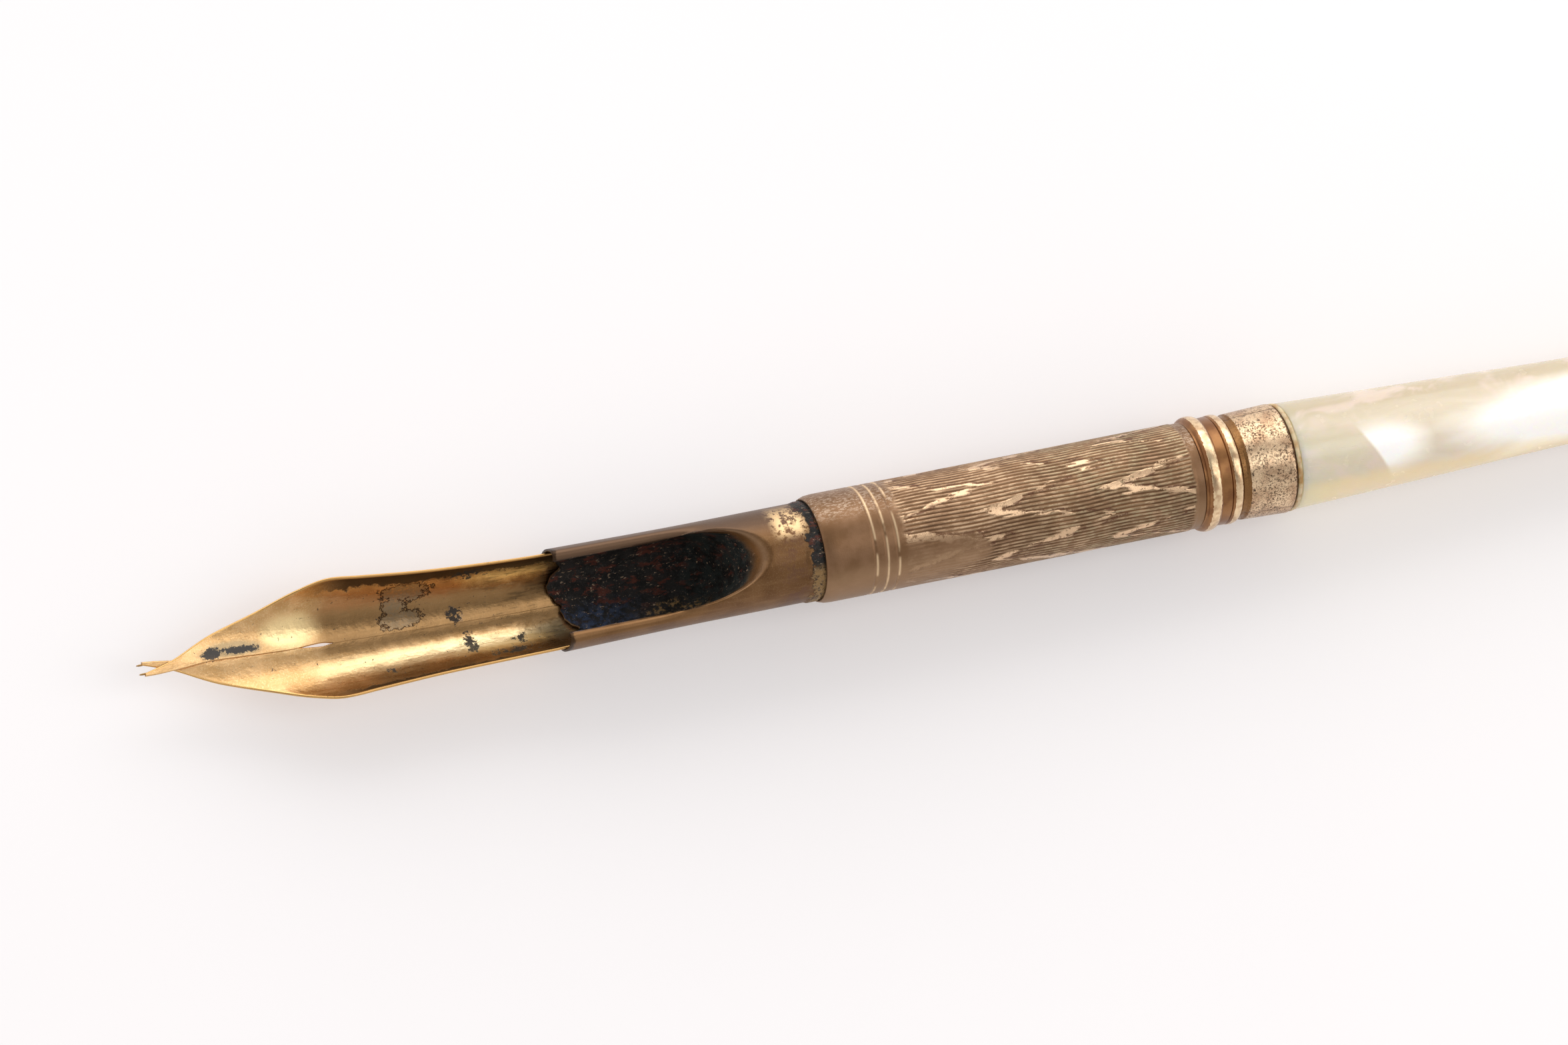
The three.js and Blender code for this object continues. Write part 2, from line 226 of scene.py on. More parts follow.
def turned_faces(profile, sides):
    return loop_faces(sides, len(profile), closed_ends=True)[:, ::-1].tolist()


def fine(profile, step):
    """The same closed profile with points no further apart than step."""
    out = []
    for a, b in zip(profile, profile[1:] + profile[:1]):
        count = max(1, math.ceil(math.dist(a, b) / step))
        out += [(mix(a[0], b[0], i / count), mix(a[1], b[1], i / count)) for i in range(count)]
    return out


# ---- nib shape ----
nib_roll = curve_through(
    (0.3, 7), (8, 5.2), (13.6, 4.4), (19, 3.68), (23, 3.4), (28.2, 3.21), (38, 3.04)
)
nib_spine = curve_through(
    (0.3, -1.3), (5, -2.15), (9.6, -2.84), (14, -3.16), (19, -3.26), (28.2, -3.21), (38, -3.04)
)
BLANK_FRONT = ((0.3, 0.05), (1.2, 0.27), (2.7, 0.62), (5.3, 1.55))
BLANK_BACK = ((23, 4.8), (38, 4.7))
half_blank = {
    1: curve_through(*BLANK_FRONT, (8.9, 2.8), (11.8, 4.1), (13.9, 5.0), (16, 4.98), *BLANK_BACK),
    -1: curve_through(*BLANK_FRONT, (8.9, 2.85), (11.6, 4.1), (13.4, 4.9), (16, 4.85), *BLANK_BACK),
}
tine_shift = curve_through(
    (0.3, 0.45), (1.2, 0.42), (2.7, 0.28), (4.4, 0.08), (5.6, 0), (9.4, 0), (14, 0)
)
NIB_LEAN = 0.95
TINE_LIFT = 0.3
slit_half_width = curve_through(
    (0.3, 0.02), (9.5, 0.025), (11.2, 0.04), (12.4, 0.15), (13.2, 0.19), (13.7, 0.12), (14, 0)
)


def nib_lean(x):
    return NIB_LEAN * np.maximum(0, 1 - x / LEAN_END) ** 1.2


AXES, ORIGIN = pen_frame()


def to_world(points):
    """From the pen's frame in millimetres to the shared frame in metres."""
    return points * MM @ AXES.T + ORIGIN


# ---- materials ----
def srgb(code):
    """Linear colour from a #rrggbb code."""
    parts = [int(code[i:i + 2], 16) / 255 for i in (1, 3, 5)]
    linear = [c / 12.92 if c <= 0.04045 else ((c + 0.055) / 1.055) ** 2.4 for c in parts]
    return (*linear, 1.0)


def feed(tree, socket, value):
    """Give a socket a link from another one, a #rrggbb colour or a plain value."""
    if isinstance(value, bpy.types.NodeSocket):
        tree.links.new(value, socket)
    elif isinstance(value, str):
        socket.default_value = srgb(value)
    else:
        socket.default_value = value


def new_node(tree, kind, inputs=None, output=0, **settings):
    """One output of a new node, after its settings are made and its inputs are fed."""
    made = tree.nodes.new("ShaderNode" + kind)
    for name, value in settings.items():
        setattr(made, name, value)
    for socket, value in (inputs or {}).items():
        feed(tree, made.inputs[socket], value)
    return made.outputs[output]


class Shader:
    """A material with one Principled shader, and short names for the nodes that feed it."""

    def __init__(self, name, **settings):
        self.material = bpy.data.materials.new(name)
        self.material.use_nodes = True
        self.tree = self.material.node_tree
        self.surface = self.tree.nodes["Principled BSDF"]
        for socket, value in settings.items():
            self.surface.inputs[socket.replace("_", " ")].default_value = value
        self.pen = self.node("Attribute", output="Vector", attribute_name="pen")

    def use_object_frame(self):
        """Read places in millimetres from the object itself, for meshes without a pen attribute."""
        self.pen = self.node("TexCoord", output="Object")
        self.pen = self.stretch(1 / MM, 1 / MM, 1 / MM)

    def node(self, *description, **settings):
        return new_node(self.tree, *description, **settings)

    def set(self, socket, value):
        feed(self.tree, self.surface.inputs[socket], value)

    def value(self, attribute):
        return self.node("Attribute", output="Fac", attribute_name=attribute)

    def math(self, operation, a, b=0.0):
        return self.node("Math", {0: a, 1: b}, operation=operation)

    def axis(self, letter):
        return self.node("SeparateXYZ", {0: self.pen}, letter)

    def stretch(self, x, y, z):
        return self.node("VectorMath", {0: self.pen, 1: (x, y, z)}, operation="MULTIPLY")

    def noise(self, scale, detail=3.0, roughness=0.55, along=1, warp=0.0):
        """Noise from 0 to 1; with along under 1 it is drawn out along the pen."""
        place = self.pen if along == 1 else self.stretch(along, 1, 1)
        inputs = {"Vector": place, "Scale": scale, "Detail": detail, "Roughness": roughness}
        return self.node("TexNoise", {**inputs, "Distortion": warp})

    def step(self, value, low, high):
        """0 below low, 1 above high, smooth between; low may be above high."""
        start, end = (0.0, 1.0) if low <= high else (1.0, 0.0)
        inputs = {"Value": value, "From Min": min(low, high), "From Max": max(low, high)}
        inputs.update({"To Min": start, "To Max": end})
        return self.node("MapRange", inputs, "Result", interpolation_type="SMOOTHSTEP")

    def times(self, *values):
        product = values[0]
        for value in values[1:]:
            product = self.math("MULTIPLY", product, value)
        return product

    def between(self, value, low, high, soft):
        """1 where value lies between low and high."""
        rise = self.step(value, low - soft, low + soft)
        fall = self.step(value, high + soft, high - soft)
        return self.times(rise, fall)

    def blend(self, share, a, b):
        return self.node("Mix", {"Factor": share, 6: a, 7: b}, 2, data_type="RGBA")

    def tint(self, color, other, *shares):
        """The colour, turned towards another by the product of the shares."""
        return self.blend(self.times(*shares), color, other)

    def level(self, share, a, b):
        """The number between a and b."""
        return self.node("MapRange", {"Value": share, "To Min": a, "To Max": b}, "Result")

    def bump(self, height, distance_mm, strength=1.0, normal=None):
        inputs = {"Strength": strength, "Distance": distance_mm * MM, "Height": height}
        if normal:
            inputs["Normal"] = normal
        return self.node("Bump", inputs)

    def spot(self, at, size, noise, wobble, across=None):
        """Distance from a spot, 1 on its wavy outline. at and size are along and across the pen."""
        across = across or self.axis("Y")
        along = self.math("DIVIDE", self.math("SUBTRACT", self.axis("X"), at[0]), size[0])
        aside = self.math("DIVIDE", self.math("SUBTRACT", across, at[1]), size[1])
        square = self.math("ADD", self.times(along, along), self.times(aside, aside))
        return self.waver(self.math("SQRT", square), noise, wobble)

    def waver(self, value, noise, reach):
        """The value, pushed up to half of reach either way by the noise."""
        return self.math("ADD", value, self.times(self.math("SUBTRACT", noise, 0.5), reach))


FAR_FROM_STAINS = 9.0              # more than any spot's own measure near its outline
STAINS = (((19.3, 2.85), (1.8, 0.75)), ((18.5, 1.8), (0.85, 0.7)), ((18.8, 0.85), (1.5, 0.65)))
INK_BLOTS = (((5.3, 0.4), (0.75, 0.45)), ((7.4, 0.45), (1.5, 0.28)))
SPATTER = (
    ((23.2, -1.7), (0.9, 1.7)), ((25.9, -3.1), (2.6, 0.8)), ((23.6, 3.8), (2.0, 0.9)),
    ((22.6, 0.6), (1.0, 1.1)), ((26.6, -1.9), (0.8, 0.7)), ((17.4, -2.9), (0.9, 0.5)),
)


def nib_painted_reflections(s, color, cloud, patch):
    """Painted reflections and shade on the polished inside: a darker hollow, a darker coppery far wall,
    pale patches, a glow and bright bands, with darker lengthwise streaks near the back.
    """
    x, across, inner = s.axis("X"), s.value("across"), s.value("inner")
    wavy_across = s.waver(across, patch, 1.2)
    # painted shade: the middle of the hollow darker
    hollow_shade = s.times(s.step(x, 12.2, 13.8), s.between(wavy_across, -0.9, 2.9, 0.6), inner)
    color = s.tint(color, "#8e6d47", hollow_shade, 0.85)
    # painted shade: the far (left) inner wall darker and coppery
    far_wall_shade = s.times(s.step(x, 12.5, 14.5), s.step(x, 24.5, 22.5), inner)
    far_wall_shade = s.times(far_wall_shade, s.between(wavy_across, 2.2, 3.7, 0.4))
    color = s.tint(color, "#b17c50", far_wall_shade, 0.65)
    # painted reflection: a pale patch near the left rim towards the back
    pale_reflection = s.times(s.step(s.waver(x, patch, 4.0), 22.4, 25.6), inner)
    pale_reflection = s.times(pale_reflection, s.between(wavy_across, 2.7, 4.1, 0.6))
    color = s.tint(color, "#f4d9a4", pale_reflection, 0.9)
    # painted highlight: a soft glow on the left tine near the slit's root
    glow = s.step(s.spot((11.0, 1.25), (2.3, 1.5), cloud, 0.6, across), 1.1, 0.35)
    color = s.tint(color, "#ffe2a8", glow, inner, 0.85)
    # painted reflection: a bright band along the near (right) inner wall
    near_wall_reflection = s.times(s.step(x, 11, 15), s.between(wavy_across, -2.6, -1.3, 0.5), inner)
    color = s.tint(color, "#fde6b6", near_wall_reflection, s.level(s.step(x, 17, 23), 0.45, 0.9))
    streaks = s.noise(4.5, 3, 0.6, along=0.12)
    streaked = s.times(s.step(streaks, 0.54, 0.66), s.step(x, 23.0, 26.0), inner)
    streaked = s.times(streaked, s.step(across, -1.0, 0.4))
    return s.tint(color, "#5c4a33", streaked, 0.55)


def nib_rim_shade(s, color, patch):
    """Painted shade in a band that runs in from the rims, wider on the left one, and a painted highlight
    along the rim itself.
    """
    x, across, rim = s.axis("X"), s.value("across"), s.value("rim")
    reach = s.level(s.step(across, -1.0, 1.0), 0.84, 0.74)
    shade_depth = s.math("SUBTRACT", s.waver(rim, patch, 0.36), reach)
    # painted shade: a dark band in from each rim
    edge = s.times(s.step(shade_depth, 0.0, 0.05), s.step(x, 12.0, 15.5))
    color = s.tint(color, "#3b2817", edge, 0.88)
    # painted highlight along the rim itself
    return s.blend(s.step(rim, 0.976, 0.988), color, "#cfa468"), edge


def nib_stains(s, color, patch, ragged, blotchy):
    """Dried ink behind the shoulders: grey patches that run together, with one dark outline."""
    across, inner = s.value("across"), s.value("inner")
    far = FAR_FROM_STAINS
    for at, size in STAINS:
        far = s.math("MINIMUM", far, s.spot(at, size, patch, 1.3, across))
    far = s.waver(far, ragged, 1.0)
    filled = s.times(s.step(far, 1.0, 0.85), inner)
    line = s.step(s.math("ABSOLUTE", s.math("SUBTRACT", far, 1.0)), 0.12, 0.03)
    color = s.tint(color, "#85745d", filled, s.step(blotchy, 0.3, 0.55), 0.75)
    return s.tint(color, "#33241a", line, s.step(blotchy, 0.28, 0.38), inner, 0.95)


def nib_blots(s, color, patch, ragged, blotchy):
    """Spattered ink in its zones, two blots beside the slit and a haze over them."""
    x, across, inner = s.axis("X"), s.value("across"), s.value("inner")
    zone = 0.0
    for at, size in SPATTER:
        zone = s.math("MAXIMUM", zone, s.step(s.spot(at, size, patch, 0.8, across), 1.1, 0.1))
    spatter = s.step(s.math("ADD", ragged, s.times(zone, 0.22)), 0.64, 0.68)
    grey = s.step(s.math("ADD", patch, s.times(zone, 0.12)), 0.58, 0.66)
    color = s.tint(color, "#7b6f66", grey, zone, inner, 0.55)
    blots = spatter
    for at, size in INK_BLOTS:
        far = s.spot(at, size, blotchy, 2.6, across)
        blots = s.math("MAXIMUM", blots, s.step(far, 1.0, 0.8))
    blots = s.times(blots, inner)
    haze = s.times(s.step(s.spot((6.8, 0.55), (2.8, 0.7), patch, 0.8, across), 1.1, 0.5), inner)
    haze = s.times(haze, s.step(across, 0.02, 0.1))
    color = s.tint(color, "#77735f", haze, 0.6)
    ink = s.blend(s.step(x, 10, 12), "#2b2d31", "#1e1712")
    return s.tint(color, ink, blots, 0.92), blots


def nib_gold():
    s = Shader("nib_gold", Metallic=1.0)
    cloud = s.noise(0.5, 4)
    patch = s.noise(1.3, 5, 0.68)
    ragged = s.noise(2.6, 5, 0.72)
    blotchy = s.noise(5.0, 6, 0.75)
    grain = s.noise(9, 3)
    brushed = s.noise(5.0, 4, along=0.07)
    color = s.blend(s.step(cloud, 0.35, 0.65), "#bf9663", "#d8ae7b")
    color = s.tint(color, "#ecd0a2", s.step(grain, 0.45, 0.75), 0.4)
    color = nib_painted_reflections(s, color, cloud, patch)
    color, edge = nib_rim_shade(s, color, patch)
    color = nib_stains(s, color, patch, ragged, blotchy)
    color, blots = nib_blots(s, color, patch, ragged, blotchy)
    s.set("Base Color", color)
    # the painted rim shade and the ink blots both make the gold rougher
    rim_shade_and_blots = s.math("MAXIMUM", edge, blots)
    s.set("Metallic", s.level(blots, 1.0, 0.3))
    s.set("Roughness", s.math("ADD", s.level(brushed, 0.2, 0.38), s.times(rim_shade_and_blots, 0.22)))
    height = s.math("ADD", s.times(brushed, 0.6), s.times(grain, 0.4))
    s.set("Normal", s.bump(height, 0.02, 0.5, s.bump(cloud, 0.15, 0.5)))
    return s.material


def point_alloy():
    s = Shader("point_alloy", Metallic=1.0)
    s.set("Base Color", s.blend(s.noise(8, 3), "#8e6f48", "#bd9a68"))
    s.set("Roughness", s.level(s.noise(12, 2), 0.25, 0.5))
    return s.material


def holder_metal(s, patch, ragged, grain):
    """The bare brass: lighter along the folds, dark on the far side, gilt and violet by the ferrule,
    with a painted highlight on the scoop's crest.
    """
    x, y = s.axis("X"), s.axis("Y")
    cloud = s.noise(0.45, 4)
    streak = s.noise(3.0, 3, along=0.12)
    color = s.blend(s.step(cloud, 0.3, 0.7), "#644529", "#795838")
    color = s.tint(color, "#886745", s.step(streak, 0.45, 0.7), 0.35)
    color = s.tint(color, "#a98a68", s.step(grain, 0.5, 0.72), 0.22)
    color = s.tint(color, "#8a6744", s.value("fold"), 0.5)
    far_side = s.step(y, 0.8, 2.4)
    color = s.tint(color, "#5f4c3f", far_side, 0.75)
    color = s.tint(color, "#80572f", s.value("lip"), 0.7)
    # painted highlight along the crest of the scoop's rim
    color = s.tint(color, "#a88d72", s.value("crest"), 0.3)
    violet = s.times(s.between(x, 43.8, 45.6, 0.8), s.step(patch, 0.45, 0.6))
    color = s.tint(color, "#5c4038", violet, 0.5)
    gilt = s.times(s.between(x, 43.9, 46.0, 0.5), s.between(y, 0.9, 2.9, 0.5))
    gilt = s.times(gilt, s.step(ragged, 0.42, 0.52))
    color = s.tint(color, "#e2c091", gilt, 0.95)
    mouth = s.times(s.step(s.waver(x, ragged, 0.5), HOLDER_MOUTH + 0.35, HOLDER_MOUTH + 0.15), 0.8)
    return s.blend(mouth, color, "#2c1e13")


def holder_soot(s, patch, ragged, blotchy, joint):
    """The black crust, with blue, rusty, greenish and sandy places."""
    x, y = s.axis("X"), s.axis("Y")
    soot = s.blend(s.step(patch, 0.4, 0.62), "#12110f", "#262321")
    blue = s.times(s.step(ragged, 0.42, 0.58), s.step(x, 36.5, 32.0), s.step(y, 0.2, -1.4))
    soot = s.tint(soot, "#33415a", blue, 0.9)
    rust = s.noise(1.5, 5, 0.75, along=0.5)
    rust = s.times(s.step(rust, 0.52, 0.6), s.step(y, -1.9, -0.2))
    soot = s.tint(soot, "#5c2c1e", rust, 0.8)
    teal = s.times(s.between(x, 38.5, 43.0, 0.8), s.step(patch, 0.42, 0.55))
    soot = s.tint(soot, "#26302e", teal, 0.7)
    gold_dust = s.step(s.spot((37.2, -1.9), (2.8, 0.9), patch, 0.8), 1.1, 0.5)
    gold_dust = s.times(gold_dust, s.step(ragged, 0.5, 0.6))
    soot = s.tint(soot, "#8d6f45", gold_dust, 0.8)
    dust = s.step(s.noise(7.0, 4, 0.75), 0.56, 0.64)
    soot = s.tint(soot, "#7b746b", dust, s.step(ragged, 0.4, 0.6), 0.4)
    fleck = s.step(s.noise(5.0, 3, 0.7, along=0.5), 0.62, 0.67)
    soot = s.tint(soot, "#ac9279", fleck, 0.75)
    low_joint = s.times(joint, s.step(y, -1.2, -2.0), s.step(blotchy, 0.4, 0.5))
    return s.tint(soot, "#9c7a4c", low_joint, 0.9)


def holder_brass():
    s = Shader("holder_brass", Specular_IOR_Level=0.25)
    patch = s.noise(0.9, 5, 0.7)
    ragged = s.noise(2.4, 5, 0.72)
    blotchy = s.noise(4.5, 6, 0.75)
    grain = s.noise(10, 4, 0.65)
    near_joint = s.between(s.waver(s.axis("X"), patch, 3.0), 46.0, 47.1, 0.1)
    joint = s.times(near_joint, s.step(blotchy, 0.34, 0.42))
    mud = s.math("MAXIMUM", s.value("crust"), joint)
    metal = holder_metal(s, patch, ragged, grain)
    soot = holder_soot(s, patch, ragged, blotchy, joint)
    s.set("Base Color", s.blend(mud, metal, soot))
    s.set("Metallic", s.level(mud, 0.78, 0.0))
    clean = s.level(grain, 0.34, 0.48)
    dirty = s.level(ragged, 0.2, 0.8)
    s.set("Roughness", s.math("ADD", s.times(clean, s.math("SUBTRACT", 1.0, mud)), s.times(dirty, mud)))
    lumps = s.math("ADD", s.times(s.noise(5, 5, 0.72), mud), s.times(grain, 0.1))
    s.set("Normal", s.bump(lumps, 0.16, 0.9))
    return s.material


def sleeve_gilt():
    s = Shader("sleeve_gilt")
    x, y = s.axis("X"), s.axis("Y")
    cloud = s.noise(0.35, 4)
    patch = s.noise(0.8, 4, 0.65)
    grain = s.noise(11, 4, 0.7)
    streak, worn = s.value("streak"), s.value("worn")
    ridge = s.blend(s.step(cloud, 0.35, 0.65), "#a8886a", "#c4a585")
    khaki = s.times(s.step(x, 56, 68), s.step(patch, 0.35, 0.6))
    ridge = s.tint(ridge, "#a39878", khaki, 0.6)
    deep = s.blend(s.step(cloud, 0.4, 0.6), "#5b412c", "#735338")
    dash = s.noise(2.6, 4, 0.7, along=0.45)
    ridge = s.tint(ridge, "#7d5e43", s.step(dash, 0.56, 0.46), 0.6)
    color = s.blend(s.value("cut"), ridge, deep)
    shine = s.times(streak, s.step(s.noise(2.6, 4, 0.7), 0.36, 0.48))
    color = s.blend(shine, color, "#dcb995")
    pits = s.times(s.value("pitted"), s.step(s.noise(1.9, 5, 0.75), 0.46, 0.54))
    color = s.tint(color, "#5c3a2b", pits, 0.85)
    smoothed = s.blend(s.step(s.noise(0.6, 4), 0.35, 0.65), "#745437", "#846347")
    # painted glints: light specks on the left side of the plain parts
    glint_specks = s.noise(7, 4, 0.75, along=0.45)
    glint_specks = s.times(s.step(glint_specks, 0.47, 0.6), s.step(y, 0.9, 2.2))
    smoothed = s.tint(smoothed, "#b59f89", glint_specks, 0.7)
    # painted reflection: the right side of the plain parts lighter
    low = s.step(y, -1.6, -2.8)
    smoothed = s.tint(smoothed, "#a0805f", low, 0.5)
    color = s.blend(worn, color, smoothed)
    # painted glints along the three engraved rings
    color = s.blend(s.value("ring"), color, "#efcfa6")
    s.set("Base Color", color)
    s.set("Metallic", s.level(worn, 0.85, 0.72))
    rough = s.math("SUBTRACT", s.level(grain, 0.34, 0.5), s.times(shine, 0.14))
    s.set("Roughness", rough)
    height = s.math("SUBTRACT", s.times(grain, 0.5), s.times(pits, 0.8))
    s.set("Normal", s.bump(height, 0.03, 0.6))
    return s.material


def ring_gilt():
    s = Shader("ring_gilt")
    rag = s.noise(4.5, 5, 0.7)
    bright = s.step(s.waver(s.value("crest"), rag, 0.6), 0.44, 0.5)
    brown = s.blend(s.step(s.noise(0.8, 4), 0.35, 0.65), "#7c512f", "#96693f")
    gold = s.blend(s.step(s.noise(2.2, 4), 0.35, 0.65), "#c8a682", "#ecd0a8")
    s.set("Base Color", s.blend(bright, brown, gold))
    s.set("Metallic", s.level(bright, 0.7, 1.0))
    s.set("Roughness", s.level(bright, 0.3, 0.24))
    s.set("Normal", s.bump(s.math("ADD", bright, s.times(rag, 0.4)), 0.02, 0.6))
    return s.material


def band_gilt():
    s = Shader("band_gilt", Metallic=0.95)
    crest = s.value("crest")
    base = s.blend(s.step(s.noise(0.7, 4), 0.35, 0.65), "#c39f7e", "#e6c8a4")
    density = s.step(s.noise(0.8, 3), 0.3, 0.6)
    dust = s.step(s.noise(6.5, 5, 0.8), 0.5, 0.56)
    spots = s.step(s.noise(3.0, 5, 0.78), 0.575, 0.62)
    color = s.tint(base, "#54402f", dust, s.level(density, 0.35, 0.95))
    color = s.tint(color, "#332620", spots, 0.85)
    brown = s.blend(s.noise(1.5, 3), "#75502f", "#8f6941")
    bare = s.step(s.waver(crest, s.noise(5, 5, 0.7), 0.8), 0.52, 0.44)
    color = s.blend(bare, color, brown)
    color = s.blend(s.value("seam"), color, "#5c4433")
    dark_end = s.step(s.waver(s.axis("X"), s.noise(3, 4), 0.25), BAND_END - 0.22, BAND_END - 0.1)
    color = s.tint(color, "#4a3424", dark_end, 0.7)
    s.set("Base Color", color)
    s.set("Roughness", s.level(dust, 0.27, 0.5))
    s.set("Normal", s.bump(s.math("ADD", s.times(dust, -0.3), s.noise(1.2, 3)), 0.015, 0.5))
    return s.material


def old_cement():
    s = Shader("old_cement", Subsurface_Weight=0.25, Subsurface_Scale=0.0006)
    s.set("Base Color", s.blend(s.step(s.noise(1.3, 4), 0.35, 0.7), "#cdbb96", "#a67c40"))
    s.set("Roughness", s.level(s.noise(5, 3), 0.35, 0.7))
    s.set("Normal", s.bump(s.noise(4, 4), 0.05, 0.7))
    return s.material


PAINTED_NACRE_GLOW = 0.09                 # painted glow on the painted highlights, for light thrown back by the shell's inner layers


def pearl():
    s = Shader(
        "pearl", Subsurface_Weight=0.85, Subsurface_Scale=0.0028, Coat_Weight=0.3,
        Coat_Roughness=0.1, IOR=1.5
    )
    s.surface.inputs["Subsurface Radius"].default_value = (1.0, 0.72, 0.32)
    x, y, z = s.axis("X"), s.axis("Y"), s.axis("Z")
    flow = s.noise(0.13, 3, 0.5, along=0.4, warp=1.2)
    fold = s.noise(0.33, 4, 0.55, along=0.35, warp=2.2)
    color = s.blend(s.step(fold, 0.3, 0.7), "#dcd0b9", "#e4dac6")
    color = s.blend(s.step(x, 83.5, 89), s.blend(0.4, color, "#cdc7ab"), color)
    # painted shade: the left side darkened
    color = s.tint(color, "#b9aa8d", s.step(y, 0.2, 2.6), 0.85)
    pink = s.step(s.noise(0.24, 3, warp=1.0), 0.5, 0.66)
    color = s.tint(color, "#e6d3cb", pink, 0.5)
    # painted highlights where the shell's layers catch the light: near white and made to glow, the first
    # with a sharp slanting edge
    slant = s.math("ADD", x, s.times(y, 0.64))
    cut = s.step(slant, 86.0, 86.4)
    first = s.times(cut, s.step(s.spot((87.4, -1.0), (3.8, 1.8), flow, 0.7), 1.25, 0.25))
    second = s.step(s.spot((104.0, -0.75), (12.5, 2.3), flow, 1.0), 1.15, 0.5)
    others = s.times(s.step(flow, 0.5, 0.64), s.step(x, 110, 118), 0.3)
    flash_highlight = s.times(s.math("MAXIMUM", s.math("MAXIMUM", first, second), others), s.step(z, 0.0, 1.2))
    color = s.blend(flash_highlight, color, "#fffefb")
    # painted glow: the right side's edge tinted warm yellow, for light through the shell
    under_glow = s.step(s.waver(y, fold, 0.8), -2.1, -2.9)
    color = s.tint(color, "#f2dca6", under_glow, 0.6)
    speck = s.step(s.noise(3.2, 2, 0.4), 0.79, 0.82)
    color = s.tint(color, "#6e5c47", speck, 0.8)
    s.set("Base Color", color)
    s.set("Roughness", s.level(s.noise(0.8, 3), 0.18, 0.32))
    s.set("Emission Color", "#fffaf4")
    s.set("Emission Strength", s.times(flash_highlight, PAINTED_NACRE_GLOW))
    scratch = s.step(s.noise(7.2, 2, along=0.15), 0.62, 0.66)
    s.set("Normal", s.bump(s.math("ADD", s.times(scratch, -0.4), s.noise(0.5, 3)), 0.05, 0.35))
    return s.material


def inner_brass():
    s = Shader("inner_brass", Metallic=1.0)
    s.use_object_frame()
    s.set("Base Color", s.blend(s.noise(0.8, 3), "#a78445", "#c7a562"))
    s.set("Roughness", s.level(s.noise(4, 3), 0.3, 0.5))
    return s.material


def core_wood():
    s = Shader("core_wood")
    s.use_object_frame()
    grain = s.noise(2.0, 4, along=0.12, warp=0.6)
    s.set("Base Color", s.blend(s.step(grain, 0.35, 0.65), "#8a6238", "#b98d5b"))
    s.set("Roughness", s.level(grain, 0.6, 0.8))
    s.set("Normal", s.bump(grain, 0.1, 0.5))
    return s.material


def table_top():
    s = Shader("table_top", Roughness=0.62, Emission_Strength=0.22)
    s.use_object_frame()
    s.set("Base Color", s.blend(s.noise(0.02, 3), "#dedcdd", "#e2e0e1"))
    s.set("Emission Color", "#fffafa")
    return s.material


# ---- nib ----
NIB_STATIONS = 110                 # along each tine, and again along the body behind them
NIB_ACROSS = 26
EDGE_STEPS = 6
SLIT_ROUNDING = 0.25               # length over which the slit's rounded edge dies out
GRAIN_SIZE = np.array([0.34, 0.075, 0.08])
GRAIN_FORWARD = np.array([0.16, 0, 0])
GRAIN_POLE = 0.08                  # radians left open round the grain's ends


def nib_half(side):
    """Rings of points round one half of the sheet, from the point to the heel."""
    x = np.concatenate([
        np.linspace(POINT_LENGTH, SLIT_END, NIB_STATIONS),
        np.linspace(SLIT_END + 0.06, NIB_HEEL, NIB_STATIONS),
    ])
    slit = np.clip((SLIT_END - x) / SLIT_ROUNDING, 0, 1)
    gape = np.where(x < SLIT_END, np.maximum(slit_half_width(x), 0), 0)
    width = half_blank[side](x)
    radius = nib_roll(x)
    inner_edge = gape / width
    share = np.concatenate([[0, 0.004], np.linspace(0.02, 1, NIB_ACROSS - 2) ** 0.9])
    rows = inner_edge[:, None] + (1 - inner_edge[:, None]) * share[None, :]
    half = NIB_SHEET / 2

    def place(rows, lift, out):
        """Points at a share of the width, lifted off the sheet and pushed outwards along it."""
        angle = rows * (width / radius)[:, None] * side
        y = radius[:, None] * np.sin(angle)
        z = nib_spine(x)[:, None] + radius[:, None] * (1 - np.cos(angle))
        y = y - lift * np.sin(angle) + side * out * np.cos(angle)
        z = z + lift * np.cos(angle) + side * out * np.sin(angle)
        y = y + nib_lean(x)[:, None] - side * np.where(x < SLIT_END, tine_shift(x), 0)[:, None]
        if side > 0:
            z = z + (TINE_LIFT * (1 - smooth(5, SLIT_END - 1, x)))[:, None]
        return np.stack([np.broadcast_to(x[:, None], y.shape), y, z], axis=-1)

    turn = np.linspace(-math.pi / 2, math.pi / 2, EDGE_STEPS + 2)[1:-1]
    edge = np.ones((len(x), EDGE_STEPS))
    rim_wall = place(edge, -half * np.sin(turn)[None], half * np.cos(turn)[None])
    slit_rows = np.broadcast_to(inner_edge[:, None], (len(x), EDGE_STEPS))
    round_off = half * slit[:, None] * np.cos(turn)[None]
    slit_wall = place(slit_rows, half * np.sin(turn)[None], -round_off)
    ring = [place(rows, half, 0.0), rim_wall, place(rows[:, ::-1], -half, 0.0), slit_wall]
    inner = np.concatenate([rows * 0 + 1, edge * 0.5, rows * 0, edge * 0], axis=1)
    rim = np.concatenate([rows, edge, rows[:, ::-1], slit_rows], axis=1)
    return np.concatenate(ring, axis=1), inner, rim, side * rim * width[:, None]


